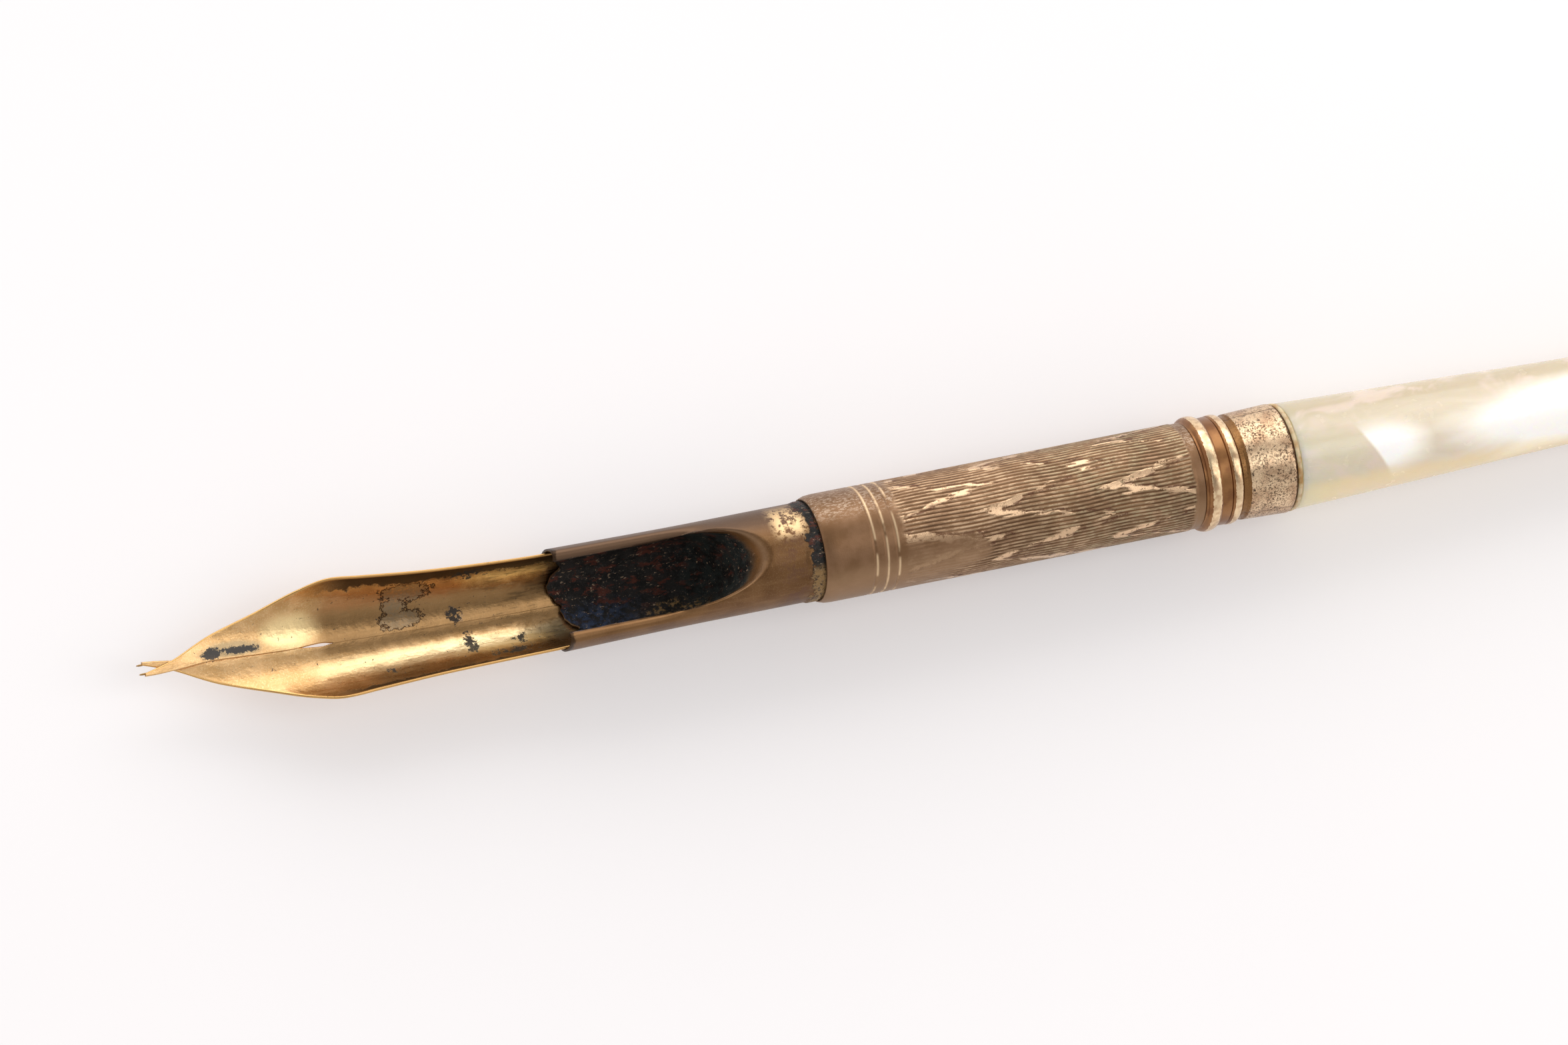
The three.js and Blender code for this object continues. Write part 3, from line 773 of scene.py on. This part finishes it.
def make_nib(gold, alloy):
    for name, side in (("left", 1), ("right", -1)):
        points, inner, rim, across = nib_half(side)
        rings, sides = points.shape[:2]
        faces = loop_faces(rings, sides).tolist()
        faces += [list(range(sides)), list(range((rings - 1) * sides, rings * sides))[::-1]]
        if side > 0:
            faces = [face[::-1] for face in faces]
        half = piece(
            f"nib_{name}_half", points, faces, gold, None, ["nib_body", f"tine_{name}"],
            "nib_gold", inner=inner, rim=rim, across=across
        )
        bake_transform(half)
        low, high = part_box(f"point_{name}")
        middle = (np.array(low) + np.array(high)) / 2
        make_point(name, middle, alloy)


def make_point(name, middle, alloy):
    """The welded grain at the end of a tine: a slightly flattened, pitted drop."""
    centre = AXES.T @ (middle - ORIGIN) / MM
    around, up = 24, 14
    turn = np.arange(around) / around * 2 * math.pi
    lift = np.linspace(GRAIN_POLE, math.pi - GRAIN_POLE, up)
    unit = np.stack([
        np.cos(lift)[:, None] * np.ones(around)[None], np.sin(lift)[:, None] * np.cos(turn)[None],
        np.sin(lift)[:, None] * np.sin(turn)[None]
    ], axis=-1)
    pitted = 0.94 + 0.1 * value_noise(unit + 5, 0.6)
    points = centre + GRAIN_FORWARD + unit * GRAIN_SIZE * pitted[..., None]
    faces = loop_faces(up, around).tolist()
    faces += [list(range(around))[::-1], list(range((up - 1) * around, up * around))]
    piece(f"tipping_grain_{name}", points, faces, alloy, f"{name}_tine", [f"point_{name}"],
          "nib_point")


# ---- nib holder ----
MOUTH_HALF_ANGLE = math.radians(66)
WALL_SHARE = 0.4                   # of the walk from bottom to top: the wall ends, the fold begins
FOLD_SHARE = 0.56                  # the fold ends, the tongue begins
FOLD_RIDGE = 0.49                  # where the fold is lightest
HOLDER_SIDES = 240
OFF_MIDDLE_LIMIT = 0.32            # beyond it the scoop's back starts to climb no sooner
CRUST_THICKNESS = 0.16
JOINT_CRUST_THICKNESS = 0.14
tongue_front = curve_through(
    (-3.2, 0.0), (-2.5, 1.2), (-1.9, 1.8), (-1.3, 1.3), (-0.8, 1.05), (-0.1, 1.05), (0.8, 0.42),
    (1.5, 0.45), (2.3, 1.2), (3.0, 0.0)
)


def holder_radius(x):
    return HOLDER_RADIUS + HOLDER_FLARE * (1 - smooth(HOLDER_MOUTH - 4, SCOOP_FLOOR_END, x))


def holder_section(x, walk, side, inset):
    """(y, z, climb) on one skin of the holder. walk runs from 0 at the bottom to 1 at the top."""
    radius = holder_radius(x)
    fold = math.pi - MOUTH_HALF_ANGLE
    outer = radius - inset
    slot = SLOT + radius - HOLDER_RADIUS
    centre = radius - HOLDER_WALL - slot / 2
    curl = outer - centre
    rest = np.clip((walk - WALL_SHARE) / (1 - WALL_SHARE), 0, 1)
    wall_angle = fold * walk / WALL_SHARE
    turn = math.pi * (walk - WALL_SHARE) / (FOLD_SHARE - WALL_SHARE)
    back = fold * (1 - (walk - FOLD_SHARE) / (1 - FOLD_SHARE))
    on_wall, on_fold = walk <= WALL_SHARE, walk <= FOLD_SHARE
    reach = centre + curl * np.cos(turn)
    push = curl * np.sin(turn)
    r = np.where(on_wall, outer, np.where(on_fold, reach, centre - curl))
    angle = np.where(on_wall, wall_angle, np.where(on_fold, fold, back))
    push = np.where(on_wall | ~on_fold, 0, push)
    y = r * np.sin(angle) + push * np.cos(angle)
    z = -r * np.cos(angle) + push * np.sin(angle)
    round_angle = np.where(on_wall, wall_angle, mix(fold, math.pi, rest))
    y_round, z_round = outer * np.sin(round_angle), -outer * np.cos(round_angle)
    off_middle = np.minimum(1 - np.sqrt(1 - (1 - rest) ** 2), OFF_MIDDLE_LIMIT)
    early = np.where(side < 0, 3.0, 0.0) * off_middle
    climb = smooth(
        SCOOP_FLOOR_END + 0.6 - 13 * off_middle - early, SCOOP_END - 9 * off_middle - early, x
    )
    climb = np.where(on_wall, 0, climb)
    return side * mix(y, y_round, climb), mix(z, z_round, climb), climb


def holder_grid():
    """Distance along the pen of every point, with the walk round the section and its side."""
    share = np.arange(HOLDER_SIDES) / HOLDER_SIDES
    side = np.where(share <= 0.5, 1.0, -1.0)
    walk = 2 * np.where(share <= 0.5, share, 1 - share)
    y_mouth = holder_section(np.full(HOLDER_SIDES, HOLDER_MOUTH), walk, side, 0.0)[0]
    tongue = np.clip((walk - FOLD_SHARE + 0.03) / 0.06, 0, 1)
    lobes = 0.1 * np.abs(np.sin(y_mouth * 4.1 + 0.6)) + 0.05 * np.sin(y_mouth * 11)
    front = HOLDER_MOUTH + tongue * (tongue_front(y_mouth) - lobes)
    along = np.concatenate([
        np.linspace(0, 0.5, 110), np.linspace(0.502, 0.6, 50), np.linspace(0.64, 1, 8)
    ])
    x = front[None, :] + (HOLDER_TAIL - front)[None, :] * along[:, None]
    return x, walk[None, :], side[None, :]


def scoop_crust(x, walk, climb, rag):
    """How thick the crust lies on the tongue, from 0 to 1, with a ragged edge."""
    edge = FOLD_SHARE - 0.035 * (1 - smooth(31, 37, x))
    on_tongue = smooth(edge - 0.03, edge + 0.03, np.broadcast_to(walk, x.shape))
    crust = on_tongue * (1 - smooth(0.6, 0.9, climb))
    return np.clip(crust * 1.6 + (rag - 0.5) * 1.2 * (crust > 0) * (crust < 0.98), 0, 1)


def holder_skin(x, walk, side, inset):
    """Points of one skin and the values that its material reads. Only the outer skin has crust."""
    y, z, climb = holder_section(x, walk, side, inset)
    crust = np.zeros_like(x)
    if inset == 0:
        place = np.stack([x, y, z], axis=-1)
        rag = rough_noise(place, 1.1, 7)
        crust = scoop_crust(x, walk, climb, rag)
        z = z + crust * CRUST_THICKNESS * (rough_noise(place, 0.7, 3, 4) - 0.2)
        joint = smooth(45.7, 46.1, x + (rag - 0.5) * 1.2) * (1 - smooth(46.6, 46.75, x))
        lumps = JOINT_CRUST_THICKNESS * joint * rough_noise(place, 0.5, 9, 3)
        swell = 1 + lumps / HOLDER_RADIUS
        y, z = y * swell, z * swell
    on_scoop = smooth(FOLD_SHARE, FOLD_SHARE + 0.12, walk)
    values = {
        "crust": crust,
        "lip": on_scoop * smooth(0.45, 0.65, climb) * (1 - smooth(0.86, 1, climb)),
        # crest marks the band of the scoop's rim that carries a painted highlight
        "crest": on_scoop * smooth(0.86, 0.95, climb) * (1 - smooth(0.94, 1, climb)),
        "fold": hump(walk, FOLD_RIDGE, 0.06) * (1 - climb),
    }
    return np.stack([x, y, z], axis=-1), values


def both(outer_skin, inner_skin):
    """One array that runs back along the inner skin after the outer one."""
    return np.concatenate([outer_skin, inner_skin[::-1]], axis=0)


def make_holder(brass):
    x, walk, side = holder_grid()
    outer, outer_values = holder_skin(x, walk, side, 0.0)
    inner, inner_values = holder_skin(x, walk, side, HOLDER_WALL)
    values = {key: both(outer_values[key], inner_values[key]) for key in outer_values}
    faces = loop_faces(2 * len(x), HOLDER_SIDES, closed_ends=True).tolist()
    piece("nib_holder_tube", both(outer, inner), faces, brass, "holder", ["nib_holder"],
          "holder_brass", **values)


# ---- ferrule ----
RIBS = 84                          # round the sleeve
POINTS_PER_RIB = 6
FLAMES = 6                         # zigzags of the chasing round the sleeve
FLAME_LENGTH = 8.8
CHASING_START = FERRULE_MOUTH + 5.6
CHASING_END = 73.55
CHASING_DEPTH = 0.055
RING_DEPTH = 0.06
REAR_STEP = 0.05
RINGS = (FERRULE_MOUTH + 3.5, FERRULE_MOUTH + 4.3, FERRULE_MOUTH + 5.1)


def sleeve_outline():
    """The sleeve's closed outline, and how many of its points lie on the outside."""
    outline = [
        (FERRULE_MOUTH, SLEEVE_BORE + 0.05), (FERRULE_MOUTH + 0.06, SLEEVE_RADIUS - 0.16),
        (FERRULE_MOUTH + 0.4, SLEEVE_RADIUS - 0.04), (FERRULE_MOUTH + 0.9, SLEEVE_RADIUS),
    ]
    stations = np.concatenate([
        np.linspace(FERRULE_MOUTH + 1, RINGS[0] - 0.3, 12),
        np.linspace(RINGS[0] - 0.25, RINGS[2] + 0.3, 46),
        np.linspace(CHASING_START, CHASING_END, 230),
        np.linspace(CHASING_END + 0.08, SLEEVE_END, 10),
    ])
    outline += [(float(x), SLEEVE_RADIUS) for x in stations]
    outside = len(outline)
    outline += [(SLEEVE_END, SLEEVE_BORE), (FERRULE_MOUTH + 12, SLEEVE_BORE)]
    return outline, outside


def angle_round(points):
    """Angle about the pen's axis, 0 at the top."""
    return np.arctan2(points[..., 1], points[..., 2])


def scale_round(points, scale):
    """Push points away from the axis or towards it, in place."""
    points[..., 1] *= scale
    points[..., 2] *= scale


def rib_grooves(points, angle):
    """1 in the grooves between the fine ribs and 0 on the ribs."""
    wander = 0.012 * np.sin(points[..., 0] * 0.9)
    wander = wander + 0.02 * (rough_noise(points, 2.2, 21, 2) - 0.5)
    return smooth(0.35, 0.8, 0.5 - 0.5 * np.cos((angle + wander) * RIBS))


def flame_phase(points, angle):
    """Place within the zigzag of flames, from 0 to 1, broken rib by rib."""
    x = points[..., 0]
    drift = rough_noise(points, 2.4, 81, 2) - 0.5
    rib = np.floor((angle + math.pi) * RIBS / (2 * math.pi) + 0.5)
    comb = value_noise(np.stack([x * 0.6, rib * 3.7, rib * 0], axis=-1), 1.0, 83) - 0.5
    turn = ((angle + math.radians(2) + 0.12 * drift) * FLAMES / (2 * math.pi)) % 1
    zigzag = np.abs(turn - 0.5) * 2
    return ((x + comb * 1.7 + drift * 1.6) / FLAME_LENGTH + zigzag + 0.352) % 1


def bright_streaks(points, flame, ragged):
    """1 on the smooth bright strokes where two flames meet."""
    line = np.minimum(flame, 1 - flame)
    thick = 0.14 * smooth(0.3, 0.75, rough_noise(points, 2.2, 91, 2))
    return 1 - smooth(thick * 0.8, thick * 1.15 + 0.002, line + ragged * 0.22)


def rubbed_side(points, angle):
    """How far the chasing is rubbed away, on the right of the sleeve's front."""
    x = points[..., 0]
    right = -np.sin(angle)
    slow = rough_noise(points, 3.0, 5, 2)
    worn = smooth(0.42, 0.6, slow + 0.3 * (1 - smooth(52, 60, x)) * smooth(-0.2, 0.6, right))
    return np.clip(worn * (1 - smooth(56, 63, x)) * smooth(0.1, 0.5, right) * 0.9, 0, 1)


def make_sleeve(gilt):
    sides = RIBS * POINTS_PER_RIB
    outline, outside = sleeve_outline()
    points = turned_points(outline, sides)
    x = points[..., 0]
    angle = angle_round(points)
    outer = np.zeros_like(x)
    outer[:, 2:outside] = 1
    rag = rough_noise(points, 0.55, 11, 3) - 0.5
    chased = smooth(CHASING_START - 0.1, CHASING_START + 0.3, x + rag * 0.5)
    chased *= 1 - smooth(CHASING_END - 0.12, CHASING_END, x + rag * 0.35)
    groove = rib_grooves(points, angle)
    flame = flame_phase(points, angle)
    ragged = rough_noise(points * [0.35, 1, 1], 0.3, 71, 3) - 0.5
    streak = bright_streaks(points, flame, ragged) * chased
    pitted = hump(flame + ragged * 0.1, 0.13, 0.05) * chased
    rubbed = rubbed_side(points, angle)
    rings = sum(hump(x, at, 0.07) for at in RINGS) * outer
    # patchy painted glints along the rings, passed to the material as ring
    glint = smooth(0.36, 0.6, rough_noise(points, 0.9, 95, 3) + 0.12 * np.sin(angle + 0.6))
    gleam = glint * sum(hump(x, at + 0.1, 0.06) for at in RINGS) * outer
    dents = 0.03 * (rough_noise(points, 4.0, 31, 2) - 0.5)
    depth = CHASING_DEPTH * groove * chased * (1 - streak) * (1 - 0.85 * rubbed)
    depth = depth * (0.55 + 0.45 * flame) + RING_DEPTH * rings
    depth = depth + REAR_STEP * smooth(CHASING_END + 0.02, CHASING_END + 0.15, x)
    scale_round(points, 1 - (depth - dents) * outer / SLEEVE_RADIUS)
    faces = turned_faces(outline, sides)
    piece("chased_sleeve_tube", points, faces, gilt, "handle", ["chased_sleeve"], "sleeve_gilt",
          cut=groove * chased * (1 - rubbed * 0.8), streak=streak, pitted=pitted,
          worn=np.clip(1 - chased + rubbed * 0.9, 0, 1), ring=np.clip(gleam, 0, 1) * 0.85)


class BeadOutline:
    """Radius along a bead ring: a foot with a half-round roll on it."""

    def __init__(self, start, end, foot, middle, half, crest, slope, steps):
        self.start, self.end, self.steps = start, end, steps
        self.foot, self.middle, self.half, self.radius = foot, middle, half, crest
        self.slope = slope

    def __call__(self, x):
        t = np.clip((x - self.middle) / self.half, -1, 1)
        roll = np.sqrt(1 - t * t * 0.999) ** 0.9
        foot = self.foot + self.slope * (x - self.start) / (self.end - self.start)
        return foot + (self.radius - foot) * roll


class BandOutline:
    """Radius along the plain band: a channel, a crisp front edge, a slight flare, a rolled rear edge."""

    def __init__(self):
        self.start, self.end, self.steps = SMALL_BEAD_END + RING_GAP, BAND_END, 60
        self.radius = BAND_REAR_RADIUS

    def __call__(self, x):
        flare = (BAND_REAR_RADIUS - BAND_FRONT_RADIUS) / (BAND_END - BAND_BODY_START)
        body = BAND_FRONT_RADIUS + flare * (x - BAND_BODY_START)
        channel = smooth(BAND_BODY_START - 0.08, BAND_BODY_START + 0.05, x)
        rolled = 0.16 * smooth(BAND_END - 0.3, BAND_END, x) ** 2
        return mix(BAND_CHANNEL_RADIUS, body, channel) - rolled


def bead_gilding(middle, spread):
    """Where a bead's gilding is left: round its crest."""
    return lambda x: hump(x, middle, spread)


def band_gilding(x):
    return smooth(BAND_BODY_START - 0.05, BAND_BODY_START + 0.25, x)


def make_ring(name, outline, crest, material, replaced, slot, seams=()):
    """A turned ring of the ferrule. outline is its outside, crest says where its gilding is left."""
    sides = 256
    stations = np.linspace(outline.start, outline.end, outline.steps)
    profile = [(x, float(outline(x))) for x in stations]
    profile += [(outline.end, RING_BORE), (outline.start, RING_BORE)]
    points = turned_points(profile, sides)
    x = points[..., 0]
    angle = angle_round(points)
    outer = np.zeros_like(x)
    outer[:, :outline.steps] = 1
    dents = 0.022 * (rough_noise(points, 1.6, 41, 3) - 0.5) * outer
    seam = np.zeros_like(x)
    for at in seams:
        seam += hump(angle, at, 0.012) * outer
    scale_round(points, 1 + (dents - 0.03 * seam) / outline.radius)
    faces = turned_faces(profile, sides)
    piece(name, points, faces, material, "handle", replaced, slot,
          crest=crest(x), seam=np.clip(seam, 0, 1))


def make_ferrule(gilt, ring_metal, band_metal):
    make_sleeve(gilt)
    bead = BeadOutline(SLEEVE_END + RING_GAP, LARGE_BEAD_END, foot=3.62, middle=LARGE_BEAD_MIDDLE,
                       half=0.52, crest=LARGE_BEAD_RADIUS, slope=0.1, steps=64)
    make_ring("large_bead", bead, bead_gilding(LARGE_BEAD_MIDDLE + 0.03, 0.36), ring_metal,
              ["large_bead_ring"], "ring_gilt")
    bead = BeadOutline(LARGE_BEAD_END + RING_GAP, SMALL_BEAD_END, foot=3.6, middle=SMALL_BEAD_MIDDLE,
                       half=0.38, crest=SMALL_BEAD_RADIUS, slope=0, steps=40)
    make_ring("small_bead", bead, bead_gilding(SMALL_BEAD_MIDDLE + 0.06, 0.3), ring_metal,
              ["small_bead_ring"], "ring_gilt")
    make_ring("plain_band", BandOutline(), band_gilding, band_metal, ["rear_band"], "band_gilt",
              seams=(math.radians(58), math.radians(-71)))


# ---- handle ----
pearl_radius = curve_through(
    (81.35, PEARL_RADIUS), (91, 3.36), (101, 3.0), (113, 2.7), (128, 2.4), (146, 2.06),
    (TAIL_END - TAIL_DOME, TAIL_RADIUS)
)
HANDLE_START = CEMENT_END + 0.05
HANDLE_CHAMFER = 0.12


def make_handle(shell):
    sides = 160
    stations = np.linspace(HANDLE_START + HANDLE_CHAMFER, TAIL_END - TAIL_DOME, 260)
    turn = np.linspace(0, math.pi / 2, 14)[1:-1]
    profile = [
        (SPIGOT_START, SPIGOT_RADIUS), (HANDLE_START, SPIGOT_RADIUS),
        (HANDLE_START, PEARL_RADIUS - HANDLE_CHAMFER),
    ]
    profile += [(float(x), float(pearl_radius(x))) for x in stations]
    profile += [
        (TAIL_END - TAIL_DOME + TAIL_DOME * math.sin(t), TAIL_RADIUS * math.cos(t)) for t in turn
    ]
    points = turned_points(profile, sides).transpose(1, 0, 2)
    outer = points[..., 0] > HANDLE_START + 0.1
    wave = 0.05 * (rough_noise(points, 9.0, 51, 2) - 0.5)
    wave = wave + 0.02 * (rough_noise(points, 2.0, 52, 2) - 0.5)
    scale_round(points, 1 + np.where(outer, wave - 0.02, 0) / PEARL_RADIUS)
    faces = loop_faces(len(profile), sides).tolist()
    last = (len(profile) - 1) * sides
    faces += [list(range(sides))[::-1], list(range(last, last + sides))]
    faces = [face[::-1] for face in faces]
    piece("pearl_handle_shaft", points, faces, shell, "handle", ["pearl_handle"], "pearl")


def make_cement_line(cement):
    """The narrow ring of cement that shows between the band and the handle."""
    sides = 200
    bore = SPIGOT_RADIUS + 0.05
    front = BAND_END + 0.02
    ring = fine([
        (front, bore), (front, PEARL_RADIUS - 0.03), (BAND_END + 0.14, PEARL_RADIUS + 0.03),
        (CEMENT_END, PEARL_RADIUS), (CEMENT_END, bore)
    ], 0.08)
    points = turned_points(ring, sides)
    ooze = 1 + 0.04 * (rough_noise(points, 0.7, 61, 3) - 0.55) / PEARL_RADIUS
    outer = np.hypot(points[..., 1], points[..., 2]) > PEARL_RADIUS - 0.1
    scale_round(points, np.where(outer, ooze, 1))
    faces = turned_faces(ring, sides)
    piece("cement_line", points, faces, cement, "handle", ["cement_ring"], "cement")


def dress_inner_nodes():
    """New materials for the hidden parts, which keep their CAD meshes."""
    inner = {"lining_tube": inner_brass(), "dowel_pin": inner_brass(), "wood_core": core_wood()}
    for node, material in inner.items():
        frame["nodes"][node].data.materials.clear()
        frame["nodes"][node].data.materials.append(material)


# ---- camera, table and light ----
VIEW_LEAN = math.radians(17.5)     # how far the pen's tail leans away from the camera
VIEW_TURN = math.radians(6.0)      # how far the camera stands to the pen's right
VIEW_ROLL = math.radians(11.13)
VIEW_DISTANCE = 750.0
VIEW_CENTRE = np.array([52.0, 0.0, 0.0])
VIEW_SHIFT = (-6.5, 0.93)
LENS = 255.7
SENSOR_WIDTH = 36.0
SKY_COLOR = (1.0, 0.985, 0.975, 1)
SKY_SIDE = 0.95
SKY_TOP = 0.32
SKY_LEFT = 0.2
SKY_DIM_FROM = 0.55                # height above which the sky starts to dim, and where it stops
SKY_DIM_TO = 0.98
TABLE_HALF = 2.0                   # metres, as are the lamps' places and sizes
WINDOW_PLACE = (0.1, 0.64, 0.34)
WINDOW_SIZE = (1.3, 0.58)
WINDOW_COLOR = (1.0, 0.985, 0.97)
KEY_WATTS = 3.6
PANEL_PLACE = (0.47, -0.12, 0.7)
PANEL_SIZE = (0.4, 1.0)
PANEL_WATTS = 1.9


def make_camera():
    back = np.array([
        -math.sin(VIEW_LEAN), -math.cos(VIEW_LEAN) * math.sin(VIEW_TURN),
        math.cos(VIEW_LEAN) * math.cos(VIEW_TURN)
    ])
    level = np.array([1.0, 0, 0]) - back * back[0]
    level /= np.linalg.norm(level)
    upright = np.cross(back, level)
    right = math.cos(VIEW_ROLL) * level - math.sin(VIEW_ROLL) * upright
    up = math.sin(VIEW_ROLL) * level + math.cos(VIEW_ROLL) * upright
    place = VIEW_CENTRE + back * VIEW_DISTANCE + right * VIEW_SHIFT[0] + up * VIEW_SHIFT[1]
    matrix = np.eye(4)
    matrix[:3, :3] = AXES @ np.column_stack([right, up, back])
    matrix[:3, 3] = to_world(place)
    data = bpy.data.cameras.new("camera")
    data.sensor_width = SENSOR_WIDTH
    data.lens = LENS
    data.clip_start = 0.01
    data.clip_end = 50
    camera = add_object("camera", data)
    camera.matrix_world = Matrix(matrix.tolist())
    bpy.context.scene.camera = camera


def make_table():
    mesh = bpy.data.meshes.new("table")
    corners = [(x * TABLE_HALF, y * TABLE_HALF, 0) for x, y in ((-1, -1), (1, -1), (1, 1), (-1, 1))]
    mesh.from_pydata(corners, [], [(0, 1, 2, 3)])
    mesh.materials.append(table_top())
    add_object("table", mesh)


def soft_box(name, place, size, watts, color=(1, 1, 1)):
    """A rectangular lamp that looks at the frame's origin, under the middle of the pen."""
    data = bpy.data.lights.new(name, "AREA")
    data.shape = "RECTANGLE"
    data.size, data.size_y = size
    data.energy = watts
    data.color = color
    lamp = add_object(name, data)
    lamp.location = place
    lamp.rotation_mode = "QUATERNION"
    lamp.rotation_quaternion = (-Vector(place)).to_track_quat("-Z", "Y")


def make_sky():
    """Bright all round the horizon and dim straight above, a little brighter on the pen's left."""
    world = bpy.data.worlds.new("studio")
    world.use_nodes = True
    tree = world.node_tree
    direction = new_node(tree, "TexCoord", output="Generated")
    above = new_node(tree, "SeparateXYZ", {0: direction}, "Z")
    leftward = new_node(tree, "SeparateXYZ", {0: direction}, "Y")
    dimming = {"From Min": SKY_DIM_FROM, "From Max": SKY_DIM_TO, "To Min": SKY_SIDE, "To Max": SKY_TOP}
    height = new_node(tree, "MapRange", {"Value": above, **dimming}, interpolation_type="SMOOTHSTEP")
    strength = new_node(tree, "Math", {0: leftward, 1: SKY_LEFT, 2: height}, operation="MULTIPLY_ADD")
    background = tree.nodes["Background"]
    feed(tree, background.inputs["Color"], SKY_COLOR)
    feed(tree, background.inputs["Strength"], strength)
    bpy.context.scene.world = world


def make_light():
    make_sky()
    soft_box("window", WINDOW_PLACE, WINDOW_SIZE, KEY_WATTS, WINDOW_COLOR)
    soft_box("ceiling_panel", PANEL_PLACE, PANEL_SIZE, PANEL_WATTS)
    bpy.context.scene.view_settings.view_transform = "Standard"


make_camera()
make_table()
make_light()
make_nib(nib_gold(), point_alloy())
make_holder(holder_brass())
make_ferrule(sleeve_gilt(), ring_gilt(), band_gilt())
make_handle(pearl())
make_cement_line(old_cement())
dress_inner_nodes()
